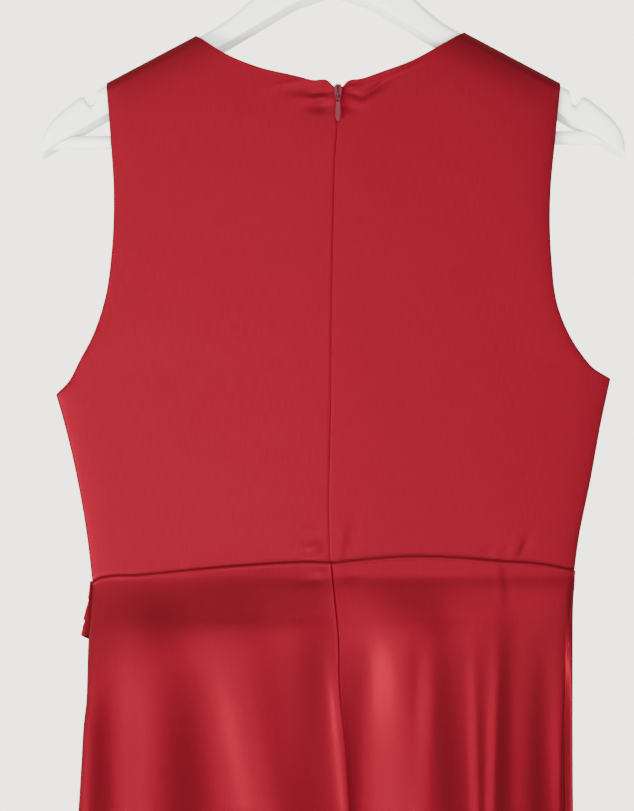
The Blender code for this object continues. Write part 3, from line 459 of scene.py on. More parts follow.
def bodiceHalf(face, side, across, up):
    # middle points of half a bodice, from its centre out to the side, and from the waist up
    word = "Left" if side < 0 else "Right"
    seam, opening = pathOf(edges["side" + word]), pathOf(edges["armhole" + word])
    neck = pathOf(edges[face + "Neck" + word])
    neckEnd, neckLow = edges[face + "Neck" + word][-1][0], edges[face + "Neck" + word][0][1]
    isBack, underarm, neckShare = face == "back", body["underarm"], body["neck"]
    waist, depth = (waistBack, backDepth) if isBack else (waistFront, frontDepth)
    centreX = backSeamX if isBack else (lambda level: np.zeros_like(level))
    waistCentre, waistSide = float(centreX(np.array(body["waistLevel"]))), edges["side" + word][0][0]
    low = float(waist(waistCentre)) - body["waistGap"] / 2

    centreLevel = low + up * (neckLow - low)
    centre = np.stack([centreX(centreLevel), centreLevel], -1)
    upArmhole = np.clip((up - underarm) / (1 - underarm), 0, 1)
    upSeam = np.clip(up / underarm, 0, 1)
    outer = np.where((up <= underarm)[:, None], seam(upSeam), opening(upArmhole))
    if not isBack:
        outer[:, 0] -= np.sign(outer[:, 0]) * body["frontInset"] * np.sin(math.pi * upArmhole) ** 2
    bottomX = waistCentre + (waistSide - waistCentre) * np.sin(across * math.pi / 2)
    bottom = np.stack([bottomX, waist(bottomX) - body["waistGap"] / 2], -1)
    upNeck = np.clip(across / neckShare, 0, 1)
    tipX = math.copysign(body["shoulderTip"], neckEnd)
    topX = neckEnd + np.clip((across - neckShare) / (1 - neckShare), 0, 1) * (tipX - neckEnd)
    shoulder = np.stack([topX, shoulderLevel(topX)], -1)
    top = np.where((across <= neckShare)[:, None], neck(upNeck), shoulder)
    u, v = across[None, :, None], up[:, None, None]
    corners = (1 - u) * (1 - v) * centre[0] + u * (1 - v) * outer[0]
    corners = corners + (1 - u) * v * centre[-1] + u * v * outer[-1]
    flat = (1 - u) * centre[:, None] + u * outer[:, None] + (1 - v) * bottom[None] + v * top[None] - corners
    x, level = flat[..., 0], flat[..., 1]
    gap = np.maximum(body["seamGap"] / 2, armholeHalfGap(upArmhole))[:, None]
    reach = np.clip(abs((x - centre[:, :1]) / (outer[:, :1] - centre[:, :1])), 0, 1)
    y = gap + (depth(level) - gap) * (flatSpread(reach, level, side) if isBack else np.sqrt(1 - reach**2))
    y = overShoulder(x, level, y)
    return np.stack([x, y * (-1 if isBack else 1), -level], -1)


def bodiceSteps():
    across = spaced(bodice["columns"], [(0, 0.03, 4), (body["neck"], 0.02, 6), (1, 0.03, 4)], [body["neck"]])
    up = spaced(bodice["rows"], [(0, 0.02, 4), (body["underarm"], 0.02, 2), (1, 0.03, 9)], [body["underarm"]])
    return across, up


def squareSeams(normals, across, up, seamColumns):  # rims of a seam lie face to face
    lowRows = up <= body["underarm"]
    for column in seamColumns:
        normals[lowRows, column, 1] = 0
    normals[-1, abs(across) >= body["neck"], 1] = 0
    normals[0, :, 2] = 0
    return unit(normals)


def bodiceRounding(across, up):  # 1 on free edges, small on seams
    rounding = np.full((len(up), len(across)), body["seamRounding"])
    rounding[-1, abs(across) < body["neck"]] = 1
    rounding[up > body["underarm"], -1] = 1
    if across[0] < 0:
        rounding[up > body["underarm"], 0] = 1
    return rounding


def waistDip(x, level, waist):  # the cloth pulls in above the waist seam
    return bodice["waistDip"] * softBump(waist(x) - level, bodice["waistDipWidth"])


def backBodice(name, side):
    across, up = bodiceSteps()
    grid = bodiceHalf("back", side, across, up)
    grid[:, 0, 0] += side * body["seamGap"] / 2
    x, level = grid[..., 0], -grid[..., 2]
    pull = bodice["seamDip"] * softBump(x - backSeamX(level), bodice["seamDipWidth"])
    grid[..., 1] -= creaseHeight(backCreases, x, level) - (pull + waistDip(x, level, waistBack))
    normals = gridNormals(grid, -1)
    normals[:, 0, 0] = 0
    normals = squareSeams(normals, across, up, [-1])
    return satinPanel(name, grid, normals, bodiceRounding(across, up), x, level)


def frontBodice():
    across, up = bodiceSteps()
    left, right = bodiceHalf("front", -1, across, up), bodiceHalf("front", 1, across, up)
    grid = np.concatenate([left[:, ::-1], right[:, 1:]], axis=1)
    both = np.concatenate([-across[::-1], across[1:]])
    x, level = grid[..., 0], -grid[..., 2]
    grid[..., 1] += creaseHeight(frontCreases, x, level) - waistDip(x, level, waistFront)
    normals = squareSeams(gridNormals(grid, 1), both, up, [0, -1])
    return satinPanel("bodiceFront", grid, normals, bodiceRounding(both, up), x, level)


# Skirt: each flank is a slope between a trough and a ridge, rising (+) or falling (-) to the right

skirt = {
    "rows": 200,
    "backColumns": 92,
    "frontColumns": 150,
    "topLevel": 600,  # where the tables give a flank's first and second x
    "lowLevel": 735,
    "highest": -0.3,  # it leans on above the top level by this share of the way between them
    "growth": 50.0,  # how far below its start a flank takes to reach its full rise
    "growthPower": 1.6,
    "topWiden": 0.8,  # a flank starts wider than it goes on
    "sharpness": 1.2,
    "hemGain": 1.0,
    "fan": 1.45,  # how far the flanks move outwards down to the hem
    "hemWidth": 2.2,
    "flareReach": 1.8,
    "leftTurn": 40,  # how close to each side the folds die out, closer where larger
    "rightTurn": 18,
    "ridge": (0.55, 2.2, 1.1),  # under the waist seam: height, distance, width
    "dip": (0.7, 0.0, 1.0),
}
flares = [  # from x, to x, width of its edges, how far out below the waist, ease
    (-104, -12, 20, 11, 60),
]
backFlanks = [  # x at the top level, x at the low level, width, rise, level where it starts
    (-206, -212, 7, 25, 559), (-180, -177, 17, -20, 594), (-151.5, -150.5, 11, 12.5, 563),
    (-113, -112, 25, -27, 565), (-96, -66, 14.5, 9.5, 588), (-56, -37, 15, -8.5, 562),
    (-30, -25, 7, -1.5, 605), (-18, -12, 13, -7, 567), (-6.5, 7, 3.2, 4.4, 596), (5, 11.5, 2.8, -2, 605),
    (20, 16, 11, -10, 583), (35, 39, 17.5, 18.5, 557), (59, 64, 5.5, -4, 582), (71, 62.5, 5.5, 8.5, 591),
    (79, 87, 15.5, -12, 557), (103.5, 107, 2.6, 3.5, 592), (110, 111, 3.4, -2.6, 592),
    (122.5, 118.5, 2.6, 4, 590), (130, 126, 8, -8.5, 562), (142, 139, 5, 1, 596), (156, 155, 7, -3.5, 580),
    (168, 171, 6, 5, 590), (180, 184, 7, 4, 590),
]
frontFlanks = [
    (-160, -158, 12, 7, 640), (-128, -126, 13, -10, 650), (-95, -92, 14, 11, 640), (-58, -54, 13, -9, 650),
    (-22, -18, 14, 10, 645), (16, 18, 13, -11, 640), (52, 55, 14, 11, 650), (88, 92, 13, -10, 645),
    (120, 124, 12, 9, 650), (152, 156, 11, -7, 640), (98, 100, 45, 13, 560),
]


def flankHeight(rows, x, level):
    total = 0
    topLevel, lowLevel = skirt["topLevel"], skirt["lowLevel"]
    leaning = np.clip((level - topLevel) / (lowLevel - topLevel), skirt["highest"], 1)
    for topX, lowX, width, rise, start in rows:
        centre = np.where(
            level < lowLevel,
            topX + (lowX - topX) * leaning,
            lowX + lowX * (skirt["fan"] - 1) * (level - lowLevel) / (body["hemLevel"] - lowLevel),
        )
        share = np.clip((level - start) / (body["hemLevel"] - start), 0, 1)
        below = np.maximum(0, level - start) / skirt["growth"]
        wide = width * (1 + (skirt["hemWidth"] - 1) * share) * (1 + skirt["topWiden"] * np.exp(-below * 2))
        size = rise * (1 - np.exp(-(below ** skirt["growthPower"])))
        size = size * (1 + skirt["hemGain"] * share)
        total = total + size * 0.5 * (1 + np.tanh(skirt["sharpness"] * (x - centre) / wide))
    return total


def flareHeight(x, level):  # the cloth swings out between two x, a little way below the waist
    total = 0
    for first, last, width, out, ease in flares:
        below = np.maximum(0, level - waistBack(x)) / ease
        window = 0.5 * (np.tanh((x - first) / width) - np.tanh((x - last) / width))
        slant = below / (1 + below**3) ** (1 / 3)
        total = total + out * window * slant * np.exp(-((below / skirt["flareReach"]) ** 3))
    return total


def skirtSurface(angle, level):  # 0 at the centre back, 90 at the right side
    turn = np.radians(angle)
    sine, cosine = np.sin(turn), np.cos(turn)
    x = sine * np.where(sine > 0, skirtRight(level), skirtLeft(level))
    tight = np.where(sine > 0, skirt["rightTurn"], skirt["leftTurn"])
    fade = np.minimum(1, tight * cosine**2)
    folds = flankHeight(backFlanks, x, level) + flareHeight(x, level) + creaseHeight(skirtCreases, x, level)
    y = np.where(
        cosine > 0,
        -backDepth(level) * flatSpread(abs(sine), level, sine) - fade * folds,
        -frontDepth(level) * cosine + fade * flankHeight(frontFlanks, x, level),
    )
    return np.stack([x, y, -level], -1)


def waistLevel(angle):
    turn = np.radians(angle)
    x = np.sin(turn) * body["waistHalf"]
    return np.where(np.cos(turn) > 0, waistBack(x), waistFront(x))


def angleAtX(x, level):
    half = np.where(x > 0, skirtRight(level), skirtLeft(level))
    return np.degrees(np.arcsin(x / half))


def hemLevelAt(angle):
    return body["hemLevel"] + body["hemWave"] * np.sin(np.radians(angle) * body["hemWaves"])


def centreBackAngle(share):
    level = body["waistLevel"] + (body["hemLevel"] - body["waistLevel"]) * share
    return angleAtX(backSeamX(level), level)


def skirtPanel(name, first, last, columns, facing, edgeRidges):
    # first and last are the angle of its two seams, edgeRidges the height and reach of the roll beside each
    down = spaced(skirt["rows"], [(0, 0.16, 3), (0, 0.008, 14), (1, 0.01, 6)])
    across = spaced(columns, [(0, 0.03, 3), (1, 0.03, 3)])
    share, u = down[:, None], across[None, :]
    start, end = [seam(share) if callable(seam) else seam for seam in (first, last)]
    angle = start + (end - start) * u
    top = waistLevel(angle) + body["waistGap"] / 2
    level = top + (hemLevelAt(angle) - top) * share
    grid = skirtSurface(angle, level)
    for column, neighbour in ((0, 1), (-1, -2)):  # leave half a gap at each seam
        grid[:, column] += unit(grid[:, neighbour] - grid[:, column]) * body["seamGap"] / 2
    normals = gridNormals(grid, facing)
    fromSeam = np.linalg.norm(np.diff(grid, axis=1), axis=2)
    fromFirst = np.concatenate([np.zeros((len(down), 1)), np.cumsum(fromSeam, 1)], 1)
    fromLast = fromFirst[:, -1:] - fromFirst
    (ridge, ridgeAt, ridgeWidth), (dip, dipAt, dipWidth) = skirt["ridge"], skirt["dip"]
    lift = ridge * softBump(level - top - ridgeAt, ridgeWidth) - dip * softBump(level - top - dipAt, dipWidth)
    for distance, (height, reach) in ((fromFirst, edgeRidges[0]), (fromLast, edgeRidges[1])):
        lift = lift + height * np.exp(-distance / reach)
    grid = grid + normals * lift[..., None]
    normals = gridNormals(grid, facing)
    normals[0, :, 2] = 0
    rounding = np.full(angle.shape, body["seamRounding"])
    rounding[-1] = 1
    return satinPanel(name, grid, unit(normals), rounding, fromFirst, level)


bodiceBackLeft = backBodice("bodiceBackLeft", -1)
bodiceBackRight = backBodice("bodiceBackRight", 1)
bodiceFront = frontBodice()
print("bodice made")
backColumns, frontColumns = skirt["backColumns"], skirt["frontColumns"]
skirtBackRight = skirtPanel(
    "skirtBackRight", centreBackAngle, rightSeamAngle, backColumns, -1, ((-0.8, 1.2), (-0.5, 1.2))
)
skirtBackLeft = skirtPanel("skirtBackLeft", -90.0, centreBackAngle, backColumns, -1, ((-0.3, 1), (0.6, 2.0)))
skirtFront = skirtPanel("skirtFront", rightSeamAngle, 270.0, frontColumns, 1, ((0.3, 1.5), (-0.3, 1)))
print("skirt made")

for piece, node, flat, area in (
    (bodiceBackLeft, "bodice_back_left", (0.24, 0.43), 0.075),
    (bodiceBackRight, "bodice_back_right", (0.24, 0.43), 0.075),
    (bodiceFront, "bodice_front", (0.46, 0.43), 0.14),
    (skirtBackLeft, "skirt_back_left", (0.42, 1.08), 0.3),
    (skirtBackRight, "skirt_back_right", (0.36, 1.08), 0.25),
    (skirtFront, "skirt_front", (0.8, 1.08), 0.56),
):
    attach(piece, "garment")
    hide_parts(node)

# Front waist drape: three knife pleats that stack at the left side seam

drape = {
    "leftAngle": 269.6,
    "rightAngle": 98.0,
    "columns": 150,
    "stepsPerPleat": 14,
    "swag": 0.62,  # how much deeper it hangs across the front
    "rightShare": 0.45,  # of its depth and stand-off that is left at the right side
    "rightOut": 0.25,
    "tuck": 0.9,  # how far the cloth steps back in under the edge of a pleat
    "standOff": 1.6,  # from the skirt's middle to the drape's
    "endCurl": 1.2,  # the pleats' ends fold back to the side seam
    "lipShare": 0.06,  # the last part of a pleat rolls in at the fold's edge
    "lipIn": 0.7,
    "rounding": 0.2,
    "slant": (0.94, 0.34),  # cosine and sine of the slant that its weave is cut on
}
drapeEnd = [  # share of the stand-off, share of the fold's height: from the seam out to the fold's edge
    (0.06, -0.3), (0.25, 0.1), (0.45, 0.42), (0.65, 0.7), (0.84, 0.94), (0.95, 1.0), (1.0, 0.88), (1.02, 0.5),
]
pleats = [(13.8, 0.2, 1.1), (29.3, 0.8, 3.9), (41.4, 2.6, 4.5)]  # drop, out near its top, out at its edge
drapeCreases = [  # share across from the left, share down, widths, height
    (0.08, 0.30, 0.10, 0.06, 0.5), (0.14, 0.52, 0.14, 0.05, 0.6), (0.10, 0.82, 0.12, 0.05, 0.5),
    (0.33, 0.22, 0.16, 0.07, -0.5), (0.42, 0.60, 0.18, 0.06, 0.6), (0.62, 0.36, 0.16, 0.07, 0.5),
    (0.70, 0.80, 0.16, 0.06, -0.4), (0.86, 0.50, 0.10, 0.07, 0.4),
]


def pleatProfile():  # shares of the drop with the drape's stand-off there, crowded at each fold
    shares, out = [], []
    top = 0.0
    deepest = pleats[-1][0]
    ease = (1 - np.cos(np.linspace(0, math.pi, drape["stepsPerPleat"]))) / 2
    for drop, near, edge in pleats:
        shares += list((top + (drop - top) * ease) / deepest)
        lip = np.sqrt(np.clip((1 - ease) / drape["lipShare"], 0, 1))
        out += list(near + (edge - near) * ease - drape["lipIn"] * (1 - lip))
        top = drop + drape["tuck"]
    return np.array(shares), np.array(out)


def waistDrapePiece():
    shares, out = pleatProfile()
    across = spaced(drape["columns"], [(0, 0.06, 3), (1, 0.04, 2)])
    down, u = shares[:, None], across[None, :]
    angle = drape["leftAngle"] + (drape["rightAngle"] - drape["leftAngle"]) * u
    fall = 1 + drape["swag"] * np.sin(math.pi * u) - (1 - drape["rightShare"]) * u
    level = waistLevel(angle) + body["seamGap"] + down * fall * pleats[-1][0]
    surface = skirtSurface(angle, level)
    outwards = np.cross(
        skirtSurface(angle - 0.4, level) - skirtSurface(angle + 0.4, level),
        skirtSurface(angle, level + 2) - skirtSurface(angle, level - 2),
    )
    outwards *= np.sign(outwards[..., 1:2] + 1e-9)  # away from the skirt's inside
    outwards[..., 2] = 0
    outwards = unit(outwards)
    lift = drape["standOff"] + out[:, None] * (1 - (1 - drape["rightOut"]) * u)
    for where, low, wide, high, height in drapeCreases:
        lift = lift + height * np.exp(-(((u - where) / wide) ** 2) - ((down - low) / high) ** 2)
    grid = surface + outwards * lift[..., None]
    ends = outwards[:, :1] * lift[:, :1, None] * np.array([share for share, _ in drapeEnd])[None, :, None]
    ends = ends + np.array([[0, -out * drape["endCurl"], 0] for _, out in drapeEnd])[None]
    grid = np.concatenate([surface[:, :1] + ends, grid], axis=1)
    normals = gridNormals(grid, 1)
    rounding = np.full(grid.shape[:2], drape["rounding"])
    rounding[-1] = 1
    c, s = drape["slant"]
    x, z = grid[..., 0], grid[..., 2]
    return satinPanel("waistDrape", grid, normals, rounding, x * c - z * s, z * c + x * s)


waistDrape = waistDrapePiece()
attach(waistDrape, "garment")
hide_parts("waist_drape")
print("waist drape made")

# What repeats along a line on the cloth


def stitchShape(tree):
    return addNode(tree, "GeometryNodeMeshUVSphere", {"Segments": 8, "Rings": 6, "Radius": 1.0})


def toothShape(tree):  # one turn of the coil, an arch across the tape
    sweep = {"Resolution": 9, "Radius": 1.0, "Sweep Angle": math.radians(200)}
    arch = addNode(tree, "GeometryNodeCurveArc", sweep)
    wire = addNode(tree, "GeometryNodeCurvePrimitiveCircle", {"Resolution": 6, "Radius": 0.18})
    tooth = addNode(tree, "GeometryNodeCurveToMesh", **{"Curve": arch, "Profile Curve": wire})
    upright = (math.radians(90), 0, math.radians(90))
    return addNode(tree, "GeometryNodeTransform", {"Rotation": upright}, Geometry=tooth)


def alongLine(name, spots, outwards, shape, material, pitch, size, wobble):
    # one shape at every pitch along a line, its x axis along the line and its z axis out of the cloth
    line = bpy.data.meshes.new(name)
    line.from_pydata((spots * mm).tolist(), [(i, i + 1) for i in range(len(spots) - 1)], [])
    line.attributes.new("outwards", "FLOAT_VECTOR", "POINT").data.foreach_set(
        "vector", outwards.astype(np.float32).ravel()
    )
    made = newObject(name, line, cloth)
    tree = bpy.data.node_groups.new(name, "GeometryNodeTree")
    inputs = {}
    for label, kind in (("Line", "Geometry"), ("Pitch", "Float"), ("Size", "Vector"), ("Wobble", "Float")):
        inputs[label] = tree.interface.new_socket(label, in_out="INPUT", socket_type="NodeSocket" + kind)
    tree.interface.new_socket("Repeats", in_out="OUTPUT", socket_type="NodeSocketGeometry")
    given = addNode(tree, "NodeGroupInput").outputs
    route = addNode(tree, "GeometryNodeMeshToCurve", Mesh=given["Line"])
    places = addNode(tree, "GeometryNodeResampleCurve", {"mode": "LENGTH"}, Curve=route, Length=given["Pitch"])
    tangent = addNode(tree, "GeometryNodeInputTangent")
    out = addNode(tree, "GeometryNodeInputNamedAttribute", {"data_type": "FLOAT_VECTOR", "Name": "outwards"})
    forward = addNode(tree, "FunctionNodeAlignRotationToVector", {"axis": "X"}, Vector=tangent)
    upright = {"axis": "Z", "pivot_axis": "X"}
    facing = addNode(tree, "FunctionNodeAlignRotationToVector", upright, Rotation=forward, Vector=out)
    less = addNode(tree, "ShaderNodeMath", {"operation": "SUBTRACT", 0: 1.0}, i1=given["Wobble"])
    upToFull = {"data_type": "FLOAT", "Seed": 7, 3: 1.0}
    vary = addNode(tree, "FunctionNodeRandomValue", upToFull, i2=less)
    scaled = {"i0": given["Size"], "Scale": vary.outputs[1]}
    scale = addNode(tree, "ShaderNodeVectorMath", {"operation": "SCALE"}, **scaled)
    placed = {"Points": places, "Instance": shape(tree), "Rotation": facing, "Scale": scale}
    repeats = addNode(tree, "GeometryNodeInstanceOnPoints", **placed)
    solid = addNode(tree, "GeometryNodeRealizeInstances", Geometry=repeats)
    coloured = addNode(tree, "GeometryNodeSetMaterial", {"Material": material}, Geometry=solid)
    addNode(tree, "NodeGroupOutput", Repeats=coloured)
    repeater = made.modifiers.new("repeats", "NODES")
    repeater.node_group = tree
    repeater[inputs["Pitch"].identifier] = pitch * mm
    repeater[inputs["Size"].identifier] = [s * mm for s in size]
    repeater[inputs["Wobble"].identifier] = wobble
    made.data = evaluatedMesh(made)
    made.modifiers.clear()
    made.data.shade_smooth()
    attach(made, "garment")


def backSpot(x, level, inset):  # a place on the back near its centre seam, set in from the cloth's middle
    onBodice = level <= waistBack(x)
    reach = abs(x - backSeamX(level)) / body["chestHalf"]
    above = -overShoulder(x, level, backDepth(level) * flatSpread(reach, level, x))
    below = skirtSurface(angleAtX(x, level), level)[..., 1]
    return np.stack([x, np.where(onBodice, above, below) + inset, -level], -1)


seams = {  # pitch, half length with half width and height, share by which a stitch may be shorter
    "waist": (2.1, (0.8, 0.2, 0.16), 0.15),
    "hem": (3.2, (1.3, 0.2, 0.16), 0.1),
    "hemAbove": 12.0,  # from the hem's edge to its stitches
}


def waistStitches(name, first, last):
    angle = np.linspace(first, last, 260)
    level = waistLevel(angle)
    spots = skirtSurface(angle, level)
    outwards = np.stack([np.sin(np.radians(angle)), -np.cos(np.radians(angle)), np.zeros_like(angle)], -1)
    alongLine(name, spots, outwards, stitchShape, paintedShadeThread, *seams["waist"])


def hemStitches():
    angle = np.linspace(-89.5, 269.5, 1400)
    level = hemLevelAt(angle) - seams["hemAbove"]
    spots = skirtSurface(angle, level)
    outwards = unit(np.cross(np.gradient(spots, axis=0), [0.0, 0.0, 1.0]))
    spots = spots + outwards * body["wall"] / 2
    alongLine("hemStitches", spots, outwards, stitchShape, paintedShadeThread, *seams["hem"])


waistStitches("waistStitchesBack", -88.0, 88.0)
waistStitches("waistStitchesFront", 92.0, 268.0)
hemStitches()
print("stitches made")

# Concealed zip

zipSizes = {
    "tapeHalf": 8.0,
    "tapeWall": 0.8,
    "tapeInset": 1.3,  # from the cloth's middle to the tape's
    "rib": (0.12, 5.6, 0.7),  # rows of stitches that hold the tape: height, distance from its middle, width
    "top": 191.8,
    "end": 590.0,
    "coilTop": 6,  # from the tape's ends to the coil's
    "coilEnd": 8,
    "coilInset": 2.1,
    "teeth": (1.15, (1.7, 2.1, 1.3), 0.0),  # pitch, half sizes, no wobble
}


def zipTapePiece():
    levels = np.linspace(zipSizes["top"], zipSizes["end"], 130)[:, None]
    offsets = np.linspace(-zipSizes["tapeHalf"], zipSizes["tapeHalf"], 13)[None, :]
    x = backSeamX(levels) + offsets
    high, place, width = zipSizes["rib"]
    ribs = high * softBump(abs(offsets) - place, width)
    grid = backSpot(x, levels + 0 * offsets, zipSizes["tapeInset"] + ribs)
    normals = gridNormals(grid, -1)
    weave = np.stack([x, -levels + 0 * offsets], -1) * mm
    rounding = np.ones(x.shape)
    return shell("zipTape", grid * mm, normals, zipSizes["tapeWall"] * mm, rounding, weave, zipTapeWeave)


def zipCoilPiece():
    level = np.linspace(zipSizes["top"] + zipSizes["coilTop"], zipSizes["end"] - zipSizes["coilEnd"], 300)
    spots = backSpot(backSeamX(level), level, zipSizes["coilInset"])
    outwards = np.tile([0.0, 1.0, 0.0], (len(level), 1))
    alongLine("zipCoil", spots, outwards, toothShape, zipTapeWeave, *zipSizes["teeth"])


def curveMesh(name, curve, material):  # a curve object's filled form as a plain mesh
    curve.materials.append(material)
    holder = newObject(name, curve, hardware)
    mesh = evaluatedMesh(holder)
    bpy.data.objects.remove(holder)
    return mesh


def addSpline(curve, points, closed):
    spline = curve.splines.new("POLY")
    spline.points.add(len(points) - 1)
    for spot, point in zip(spline.points, points):
        spot.co = (*point, 1)
    spline.use_cyclic_u = closed


def tube(name, points, radius, material, rings=6):  # a round wire along points in metres
    curve = bpy.data.curves.new(name, "CURVE")
    curve.dimensions = "3D"
    curve.bevel_depth = radius
    curve.bevel_resolution = rings
    curve.use_fill_caps = True
    addSpline(curve, points, False)
    return smoothPiece(name, curveMesh(name, curve, material), 50, hardware)


def plate(name, outlines, thickness, bevel, place, material):
    # a flat piece in the XZ plane with rounded edges, the later outlines as holes, sizes in millimetres
    curve = bpy.data.curves.new(name, "CURVE")
    curve.dimensions = "2D"
    curve.fill_mode = "BOTH"
    curve.extrude = (thickness / 2 - bevel) * mm
    curve.bevel_depth = bevel * mm
    curve.bevel_resolution = 3
    curve.offset = -bevel * mm
    for outline in outlines:
        addSpline(curve, [(x * mm, z * mm, 0) for x, z in outline], True)
    mesh = curveMesh(name, curve, material)
    mesh.transform(Matrix.Translation(place) @ Matrix.Rotation(math.radians(90), 4, "X"))
    return smoothPiece(name, mesh, 40, hardware)


def ringPoints(rows, count):  # a smooth closed outline through spots
    return pathOf(rows + rows[:1])(np.linspace(0, 1, count, endpoint=False)).tolist()


def join(name, pieces):  # one piece from several, each with its own material
    bm = bmesh.new()
    materials = []
    for piece in pieces:
        first = len(bm.faces)
        bm.from_mesh(piece.data)
        bm.faces.ensure_lookup_table()
        if piece.data.materials[0] not in materials:
            materials.append(piece.data.materials[0])
        for face in bm.faces[first:]:
            face.material_index = materials.index(piece.data.materials[0])
            face.smooth = True
        bpy.data.objects.remove(piece)
    mesh = meshFrom(name, bm, materials)
    mesh.set_sharp_from_angle(angle=math.radians(45))
    return newObject(name, mesh, hardware)


slider = {
    "height": 11.4,
    "width": 6.4,
    "thickness": 2.0,
    "bevel": 0.5,
    "outline": [  # half width and drop as shares
        (0, 0.0), (0.45, 0.01), (0.8, 0.1), (1.0, 0.3), (0.92, 0.55), (0.74, 0.8), (0.45, 0.97), (0, 1.0),
    ],
    "bridgeWire": 0.66,
    "bridgeSink": 0.4,  # its feet go into the slider
    "bridgeHigh": 3.4,
    "bridgeTop": 1.2,  # feet of the bridge, below the slider's top
    "bridgeLow": 10.4,
}
tab = {
    "length": 19.6,
    "width": 4.3,
    "neck": 3.6,
    "thickness": 1.0,
    "bevel": 0.3,
    "bar": 0.9,  # height of the bar that hangs on the bridge
    "slotHalf": 1.05,
    "slotLow": 4.0,
    "rimWire": 0.16,
    "rimOut": 0.42,
}


def zipSliderPiece():
    low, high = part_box("zip_slider")
    middleX, top, back = (low[0] + high[0]) / 2, high[2], high[1]
    half, height = slider["width"] / 2, slider["height"]
    right = [(half * share, -height * drop) for share, drop in slider["outline"]]
    outline = right + [(-x, z) for x, z in right[-2:0:-1]]
    front = back - slider["thickness"] * mm
    place = (middleX, back - slider["thickness"] / 2 * mm, top)
    flat = plate(
        "sliderBody", [ringPoints(outline, 64)], slider["thickness"], slider["bevel"], place, maroonEnamel
    )
    turn = np.linspace(0, math.pi, 33)
    rise = np.sin(turn) ** 0.6 * slider["bridgeHigh"] * mm
    middle = (slider["bridgeTop"] + slider["bridgeLow"]) / 2
    reach = (slider["bridgeLow"] - slider["bridgeTop"]) / 2
    z = top - (middle - reach * np.cos(turn)) * mm
    points = np.stack([np.full_like(z, middleX), front + slider["bridgeSink"] * mm - rise, z], -1)
    bridge = tube("sliderBridge", points.tolist(), slider["bridgeWire"] * mm, maroonEnamel)
    return join("zipSlider", [flat, bridge])


def pullTabPiece():
    pivot = Vector(frame["joints"][0]["pos_m"])
    neck, half, length = tab["neck"] / 2, tab["width"] / 2, tab["length"]
    # right half of the outline, from the bar's top down to the drop-shaped end
    right = [(0.0, tab["bar"] / 2), (neck * 0.7, tab["bar"] / 2 - 0.15), (neck, -0.4)]
    right += [(neck * 0.9, -tab["slotLow"]), (half * 0.86, -length * 0.42), (half, -length * 0.65)]
    right += [(half * 0.86, -length * 0.85), (half * 0.45, -length * 0.97), (0.0, -length)]
    outline = right + [(-x, z) for x, z in right[-2:0:-1]]
    slot, low = tab["slotHalf"], -tab["slotLow"]
    hole = [(-slot, -tab["bar"] / 2), (slot, -tab["bar"] / 2), (slot, low), (0, low - 0.7), (-slot, low)]
    dimple = [  # pressed drop-shaped hollow that shows as a bright rim
        (x * 0.5, z * 0.8 - length * 0.12) for x, z in right[4:] + [(-x, z) for x, z in right[-2:3:-1]]
    ]
    flat = plate(
        "zipPullTab", [ringPoints(outline, 72), hole], tab["thickness"], tab["bevel"], pivot, maroonEnamel
    )
    rimY = pivot.y - tab["rimOut"] * mm
    rim = [(pivot.x + x * mm, rimY, pivot.z + z * mm) for x, z in ringPoints(dimple, 40)]
    rimWire = tube("tabRim", rim + rim[:1], tab["rimWire"] * mm, maroonEnamel, 2)
    return join("zipPullTab", [flat, rimWire])


zipTape = zipTapePiece()
zipCoilPiece()
for piece, bodyName, node, slot in (
    (zipTape, "garment", "zip_tape", "zip_tape"),
    (zipSliderPiece(), "garment", "zip_slider", "zip_enamel"),
    (pullTabPiece(), "pull_tab", "zip_pull_tab", "zip_enamel"),
):
    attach(piece, bodyName)
    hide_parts(node)
print("zip made")

# Hanger

hanger = {
    "half": 6.2,  # half its thickness
    "steps": 420,
    "edgeRound": 1.3,
    "undersideFall": 5.0,
    "tipStart": 214.0,  # the arms get thinner from here to their tips
    "tipEnd": 222.6,
    "barRadius": 5.1,
    "barLevels": (228.6, 224.6),  # at its left and right end
    "lowerApex": 104.7,
    "lowerSlope": 0.592,
    "barClearance": 0.6,  # from its ends to the arms
    "hookRadius": 21.5,
    "hookWire": 3.8,
    "hookTurns": (-72, 193.2),  # degrees from its right side, where the crook starts and ends
    "shank": [(0, 74.7), (0, 66), (0.6, 60)],  # x and level up to the crook
}
hangerTop = [  # x and level along the upper line, with the notch near the tip
    (0, 75), (6, 75.8), (12, 78), (18, 82), (25, 88), (36, 97), (50, 108.6), (63.3, 119.6), (75, 130.2),
    (84, 136.9), (92, 141.9), (105, 149), (140, 167.3), (168, 182.1), (176, 186.3), (179.4, 188.2),
    (180.7, 190), (181, 192.6), (181.6, 196), (183, 198.6), (185.2, 199.6), (187.4, 198.4), (189, 195.6),
    (191, 193.6), (193.6, 194.4), (200, 198.8), (209, 206.2), (216, 213.5), (220.4, 221), (222.6, 228),
]
hangerBottom = curveOf([
    (0, 113), (6, 114), (12, 116), (18, 118.2), (25, 120.4), (36, 126), (50, 134.3), (63.3, 142.2),
    (75, 149.1), (84, 154.4), (92, 159.2), (105, 166.9), (140, 187.6), (176, 208.9), (186, 214.8),
    (200, 223.1), (209, 228.4), (216, 232.6), (220.4, 235.2), (222.6, 236),
])


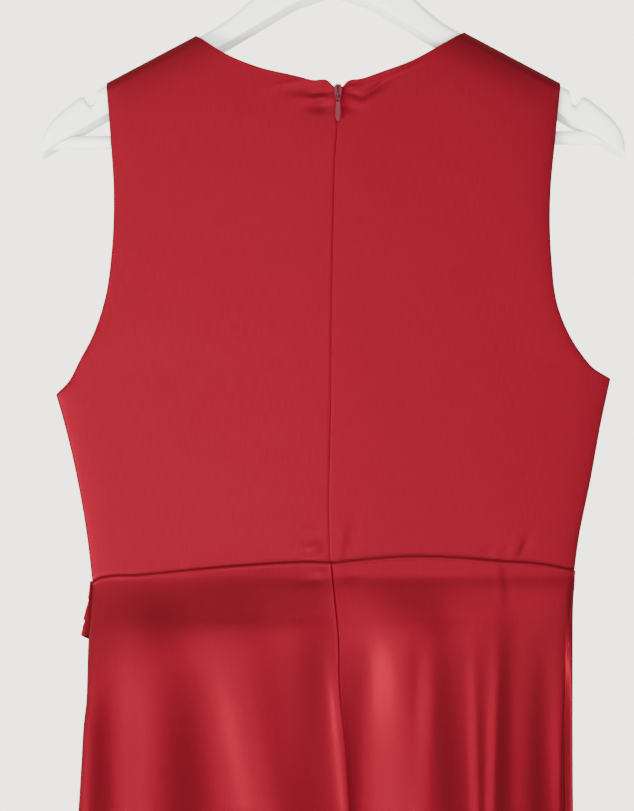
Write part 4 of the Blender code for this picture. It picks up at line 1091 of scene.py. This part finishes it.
def hangerRing(x, side, top, bottom):  # rounded top, and an underside that slopes up towards the back face
    tip = np.clip((x - hanger["tipStart"]) / (hanger["tipEnd"] - hanger["tipStart"]), 0, 1)
    half = hanger["half"] * (0.45 + 0.55 * math.sqrt(1 - tip**2))  # the arms end at 0.45 of their thickness
    roundHigh = min(half, (bottom - top) * 0.45)
    turn = np.linspace(0, math.pi, 17)
    ring = [(-half * math.cos(t), -top - roundHigh * (1 - math.sin(t) ** 0.8)) for t in turn]
    corners = [(half, -bottom - hanger["undersideFall"], 0), (-half, -bottom, math.pi / 2)]
    soft = min(hanger["edgeRound"], half * 0.5)
    for y, z, first in corners:
        inner = y - math.copysign(soft, y)
        for t in np.linspace(0, math.pi / 2, 5):
            a = -first - t
            ring.append((inner + soft * math.cos(a), z + soft + soft * math.sin(a)))
    return [(side * x * mm, y * mm, z * mm) for y, z in ring]


def ringsPiece(name, rings, material):  # a skin through rings of points, closed at both ends
    bm = bmesh.new()
    rings = [[bm.verts.new(point) for point in ring] for ring in rings]
    for first, second in zip(rings, rings[1:]):
        for i, vert in enumerate(first):
            j = (i + 1) % len(first)
            bm.faces.new((vert, first[j], second[j], second[i]))
    for ring in (rings[0], rings[-1]):
        bm.faces.new(ring)
    bmesh.ops.recalc_face_normals(bm, faces=bm.faces)
    return smoothPiece(name, meshFrom(name, bm, [material]), 50, hardware)


def hangerBodyPiece():
    spots = pathOf(hangerTop)(spaced(hanger["steps"], [(0.78, 0.05, 4), (1, 0.02, 4)]))
    rings = [hangerRing(x, -1, top, float(hangerBottom(x))) for x, top in spots[::-1]]
    rings += [hangerRing(x, 1, top, float(hangerBottom(x))) for x, top in spots[1:]]
    return ringsPiece("hangerBody", rings, whiteLacquer)


def trouserBarPiece():  # its ends are cut to the slope of the arms' undersides
    rings = []
    for side, middle in zip((-1, 1), hanger["barLevels"]):
        ring = []
        for turn in np.linspace(0, 2 * math.pi, 48, endpoint=False):
            y, z = hanger["barRadius"] * math.cos(turn), -middle + hanger["barRadius"] * math.sin(turn)
            fall = hanger["undersideFall"] * (y + hanger["half"]) / (2 * hanger["half"])
            reach = (-z - hanger["lowerApex"] - fall) / hanger["lowerSlope"] - hanger["barClearance"]
            ring.append((side * reach * mm, y * mm, z * mm))
        rings.append(ring)
    return ringsPiece("trouserBar", rings, whiteLacquer)


def hangerHookPiece():
    radius = hanger["hookRadius"]
    centreLevel = radius - hanger["hookWire"] / 2
    turns = np.radians(np.linspace(*hanger["hookTurns"], 96))
    crook = np.stack([radius * np.cos(turns), centreLevel - radius * np.sin(turns)], -1)
    shank = pathOf(hanger["shank"] + [tuple(crook[0])])(np.linspace(0, 1, 24, endpoint=False))
    points = [(x * mm, 0, -level * mm) for x, level in np.concatenate([shank, crook])]
    return tube("hangerHook", points, hanger["hookWire"] / 2 * mm, nickelSteel)


for piece, node, slot in (
    (hangerBodyPiece(), "hanger_body", "white_wood"),
    (trouserBarPiece(), "trouser_bar", "white_wood"),
    (hangerHookPiece(), "hanger_hook", "hook_steel"),
):
    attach(piece, "garment")
    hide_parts(node)
print("hanger made")

# Studio

studio = {
    "backdrop": (3.75, 3.46, 3.09),  # radiance of the pale backdrop that the camera sees
    "surround": 1.09,  # light from the room itself
    "surroundBelow": 0.55,  # the same from under the dress
    "floorLevel": 2.0,
    "floorRadius": 5.0,
    "aim": (0, 0, -0.6),  # where the softboxes point
}
studioLights = [  # name, degrees to the right of the camera, degrees up, metres away, width, height, watts
    ("keySoftbox", -50, -28, 2.7, 1.0, 1.0, 290),
    ("upperSoftbox", -35, 20, 2.7, 1.2, 1.0, 25),
    ("frontSoftbox", 0, 0, 2.9, 1.4, 1.4, 62),
    ("rightSoftbox", 28, 0, 2.7, 1.0, 1.4, 20),
    ("farSoftbox", 165, 12, 2.9, 1.6, 1.6, 130),
]


def addWorld():
    world = bpy.data.worlds.new("studioRoom")
    bpy.context.scene.world = world
    world.use_nodes = True
    tree = world.node_tree
    tree.nodes.clear()
    seen = addNode(tree, "ShaderNodeBackground", {"Color": (*studio["backdrop"], 1), "Strength": 1.0})
    facing = addNode(tree, "ShaderNodeTexCoord")
    upDown = addNode(tree, "ShaderNodeSeparateXYZ", Vector=facing.outputs["Generated"])
    heights = {"From Min": -0.9, "From Max": -0.1}
    strengths = {"To Min": studio["surroundBelow"], "To Max": studio["surround"]}
    strength = addNode(tree, "ShaderNodeMapRange", {**heights, **strengths}, Value=upDown.outputs["Z"])
    lit = addNode(tree, "ShaderNodeBackground", {"Color": (1, 1, 1, 1)}, Strength=strength)
    path = addNode(tree, "ShaderNodeLightPath")
    mixed = addNode(tree, "ShaderNodeMixShader", i0=path.outputs["Is Camera Ray"], i1=lit, i2=seen)
    addNode(tree, "ShaderNodeOutputWorld", Surface=mixed)


def addFloor():
    bm = bmesh.new()
    bmesh.ops.create_circle(bm, cap_ends=True, radius=studio["floorRadius"], segments=96)
    made, tree = newMaterial("paleFloorPaint")
    settings = {"Roughness": 0.8, "Base Color": linearColour("#F0EFED")}
    finishMaterial(tree, addNode(tree, "ShaderNodeBsdfPrincipled", settings))
    mesh = meshFrom("studioFloor", bm, [made])
    floor = newObject("studioFloor", mesh, bpy.context.scene.collection)
    floor.location.z = -studio["floorLevel"]


def addLights():
    aim = Vector(studio["aim"])
    for name, aside, up, away, width, height, watts in studioLights:
        turn, rise = math.radians(aside), math.radians(up)
        reach = Vector((math.sin(turn) * math.cos(rise), -math.cos(turn) * math.cos(rise), math.sin(rise)))
        light = bpy.data.lights.new(name, "AREA")
        light.shape = "RECTANGLE"
        light.size, light.size_y = width, height
        light.energy = watts
        lamp = newObject(name, light, bpy.context.scene.collection)
        lamp.location = aim + reach * away
        lamp.rotation_euler = (-reach).to_track_quat("-Z", "Y").to_euler()
        lamp.visible_camera = False


photoView = {
    "pixel": 0.7646,  # mm at the hanger
    "centreX": 333.4,  # the pixel column of the hook
    "wide": 634,
    "high": 811,
    "cutOff": 58,  # pixels from the hanger's top down to the picture's upper edge
    "distance": 2.4,
}


def addCamera():
    pixel = photoView["pixel"] * mm
    data = bpy.data.cameras.new("photoCamera")
    data.lens = data.sensor_width * photoView["distance"] / (photoView["high"] * pixel)
    camera = newObject("photoCamera", data, bpy.context.scene.collection)
    x = (photoView["wide"] / 2 - photoView["centreX"]) * pixel
    z = -hangerTop[0][1] * mm - (photoView["cutOff"] + photoView["high"] / 2) * pixel
    camera.location = (x, -photoView["distance"], z)
    camera.rotation_euler = (math.radians(90), 0, 0)
    bpy.context.scene.camera = camera


addWorld()
addFloor()
addLights()
addCamera()
print("studio made")
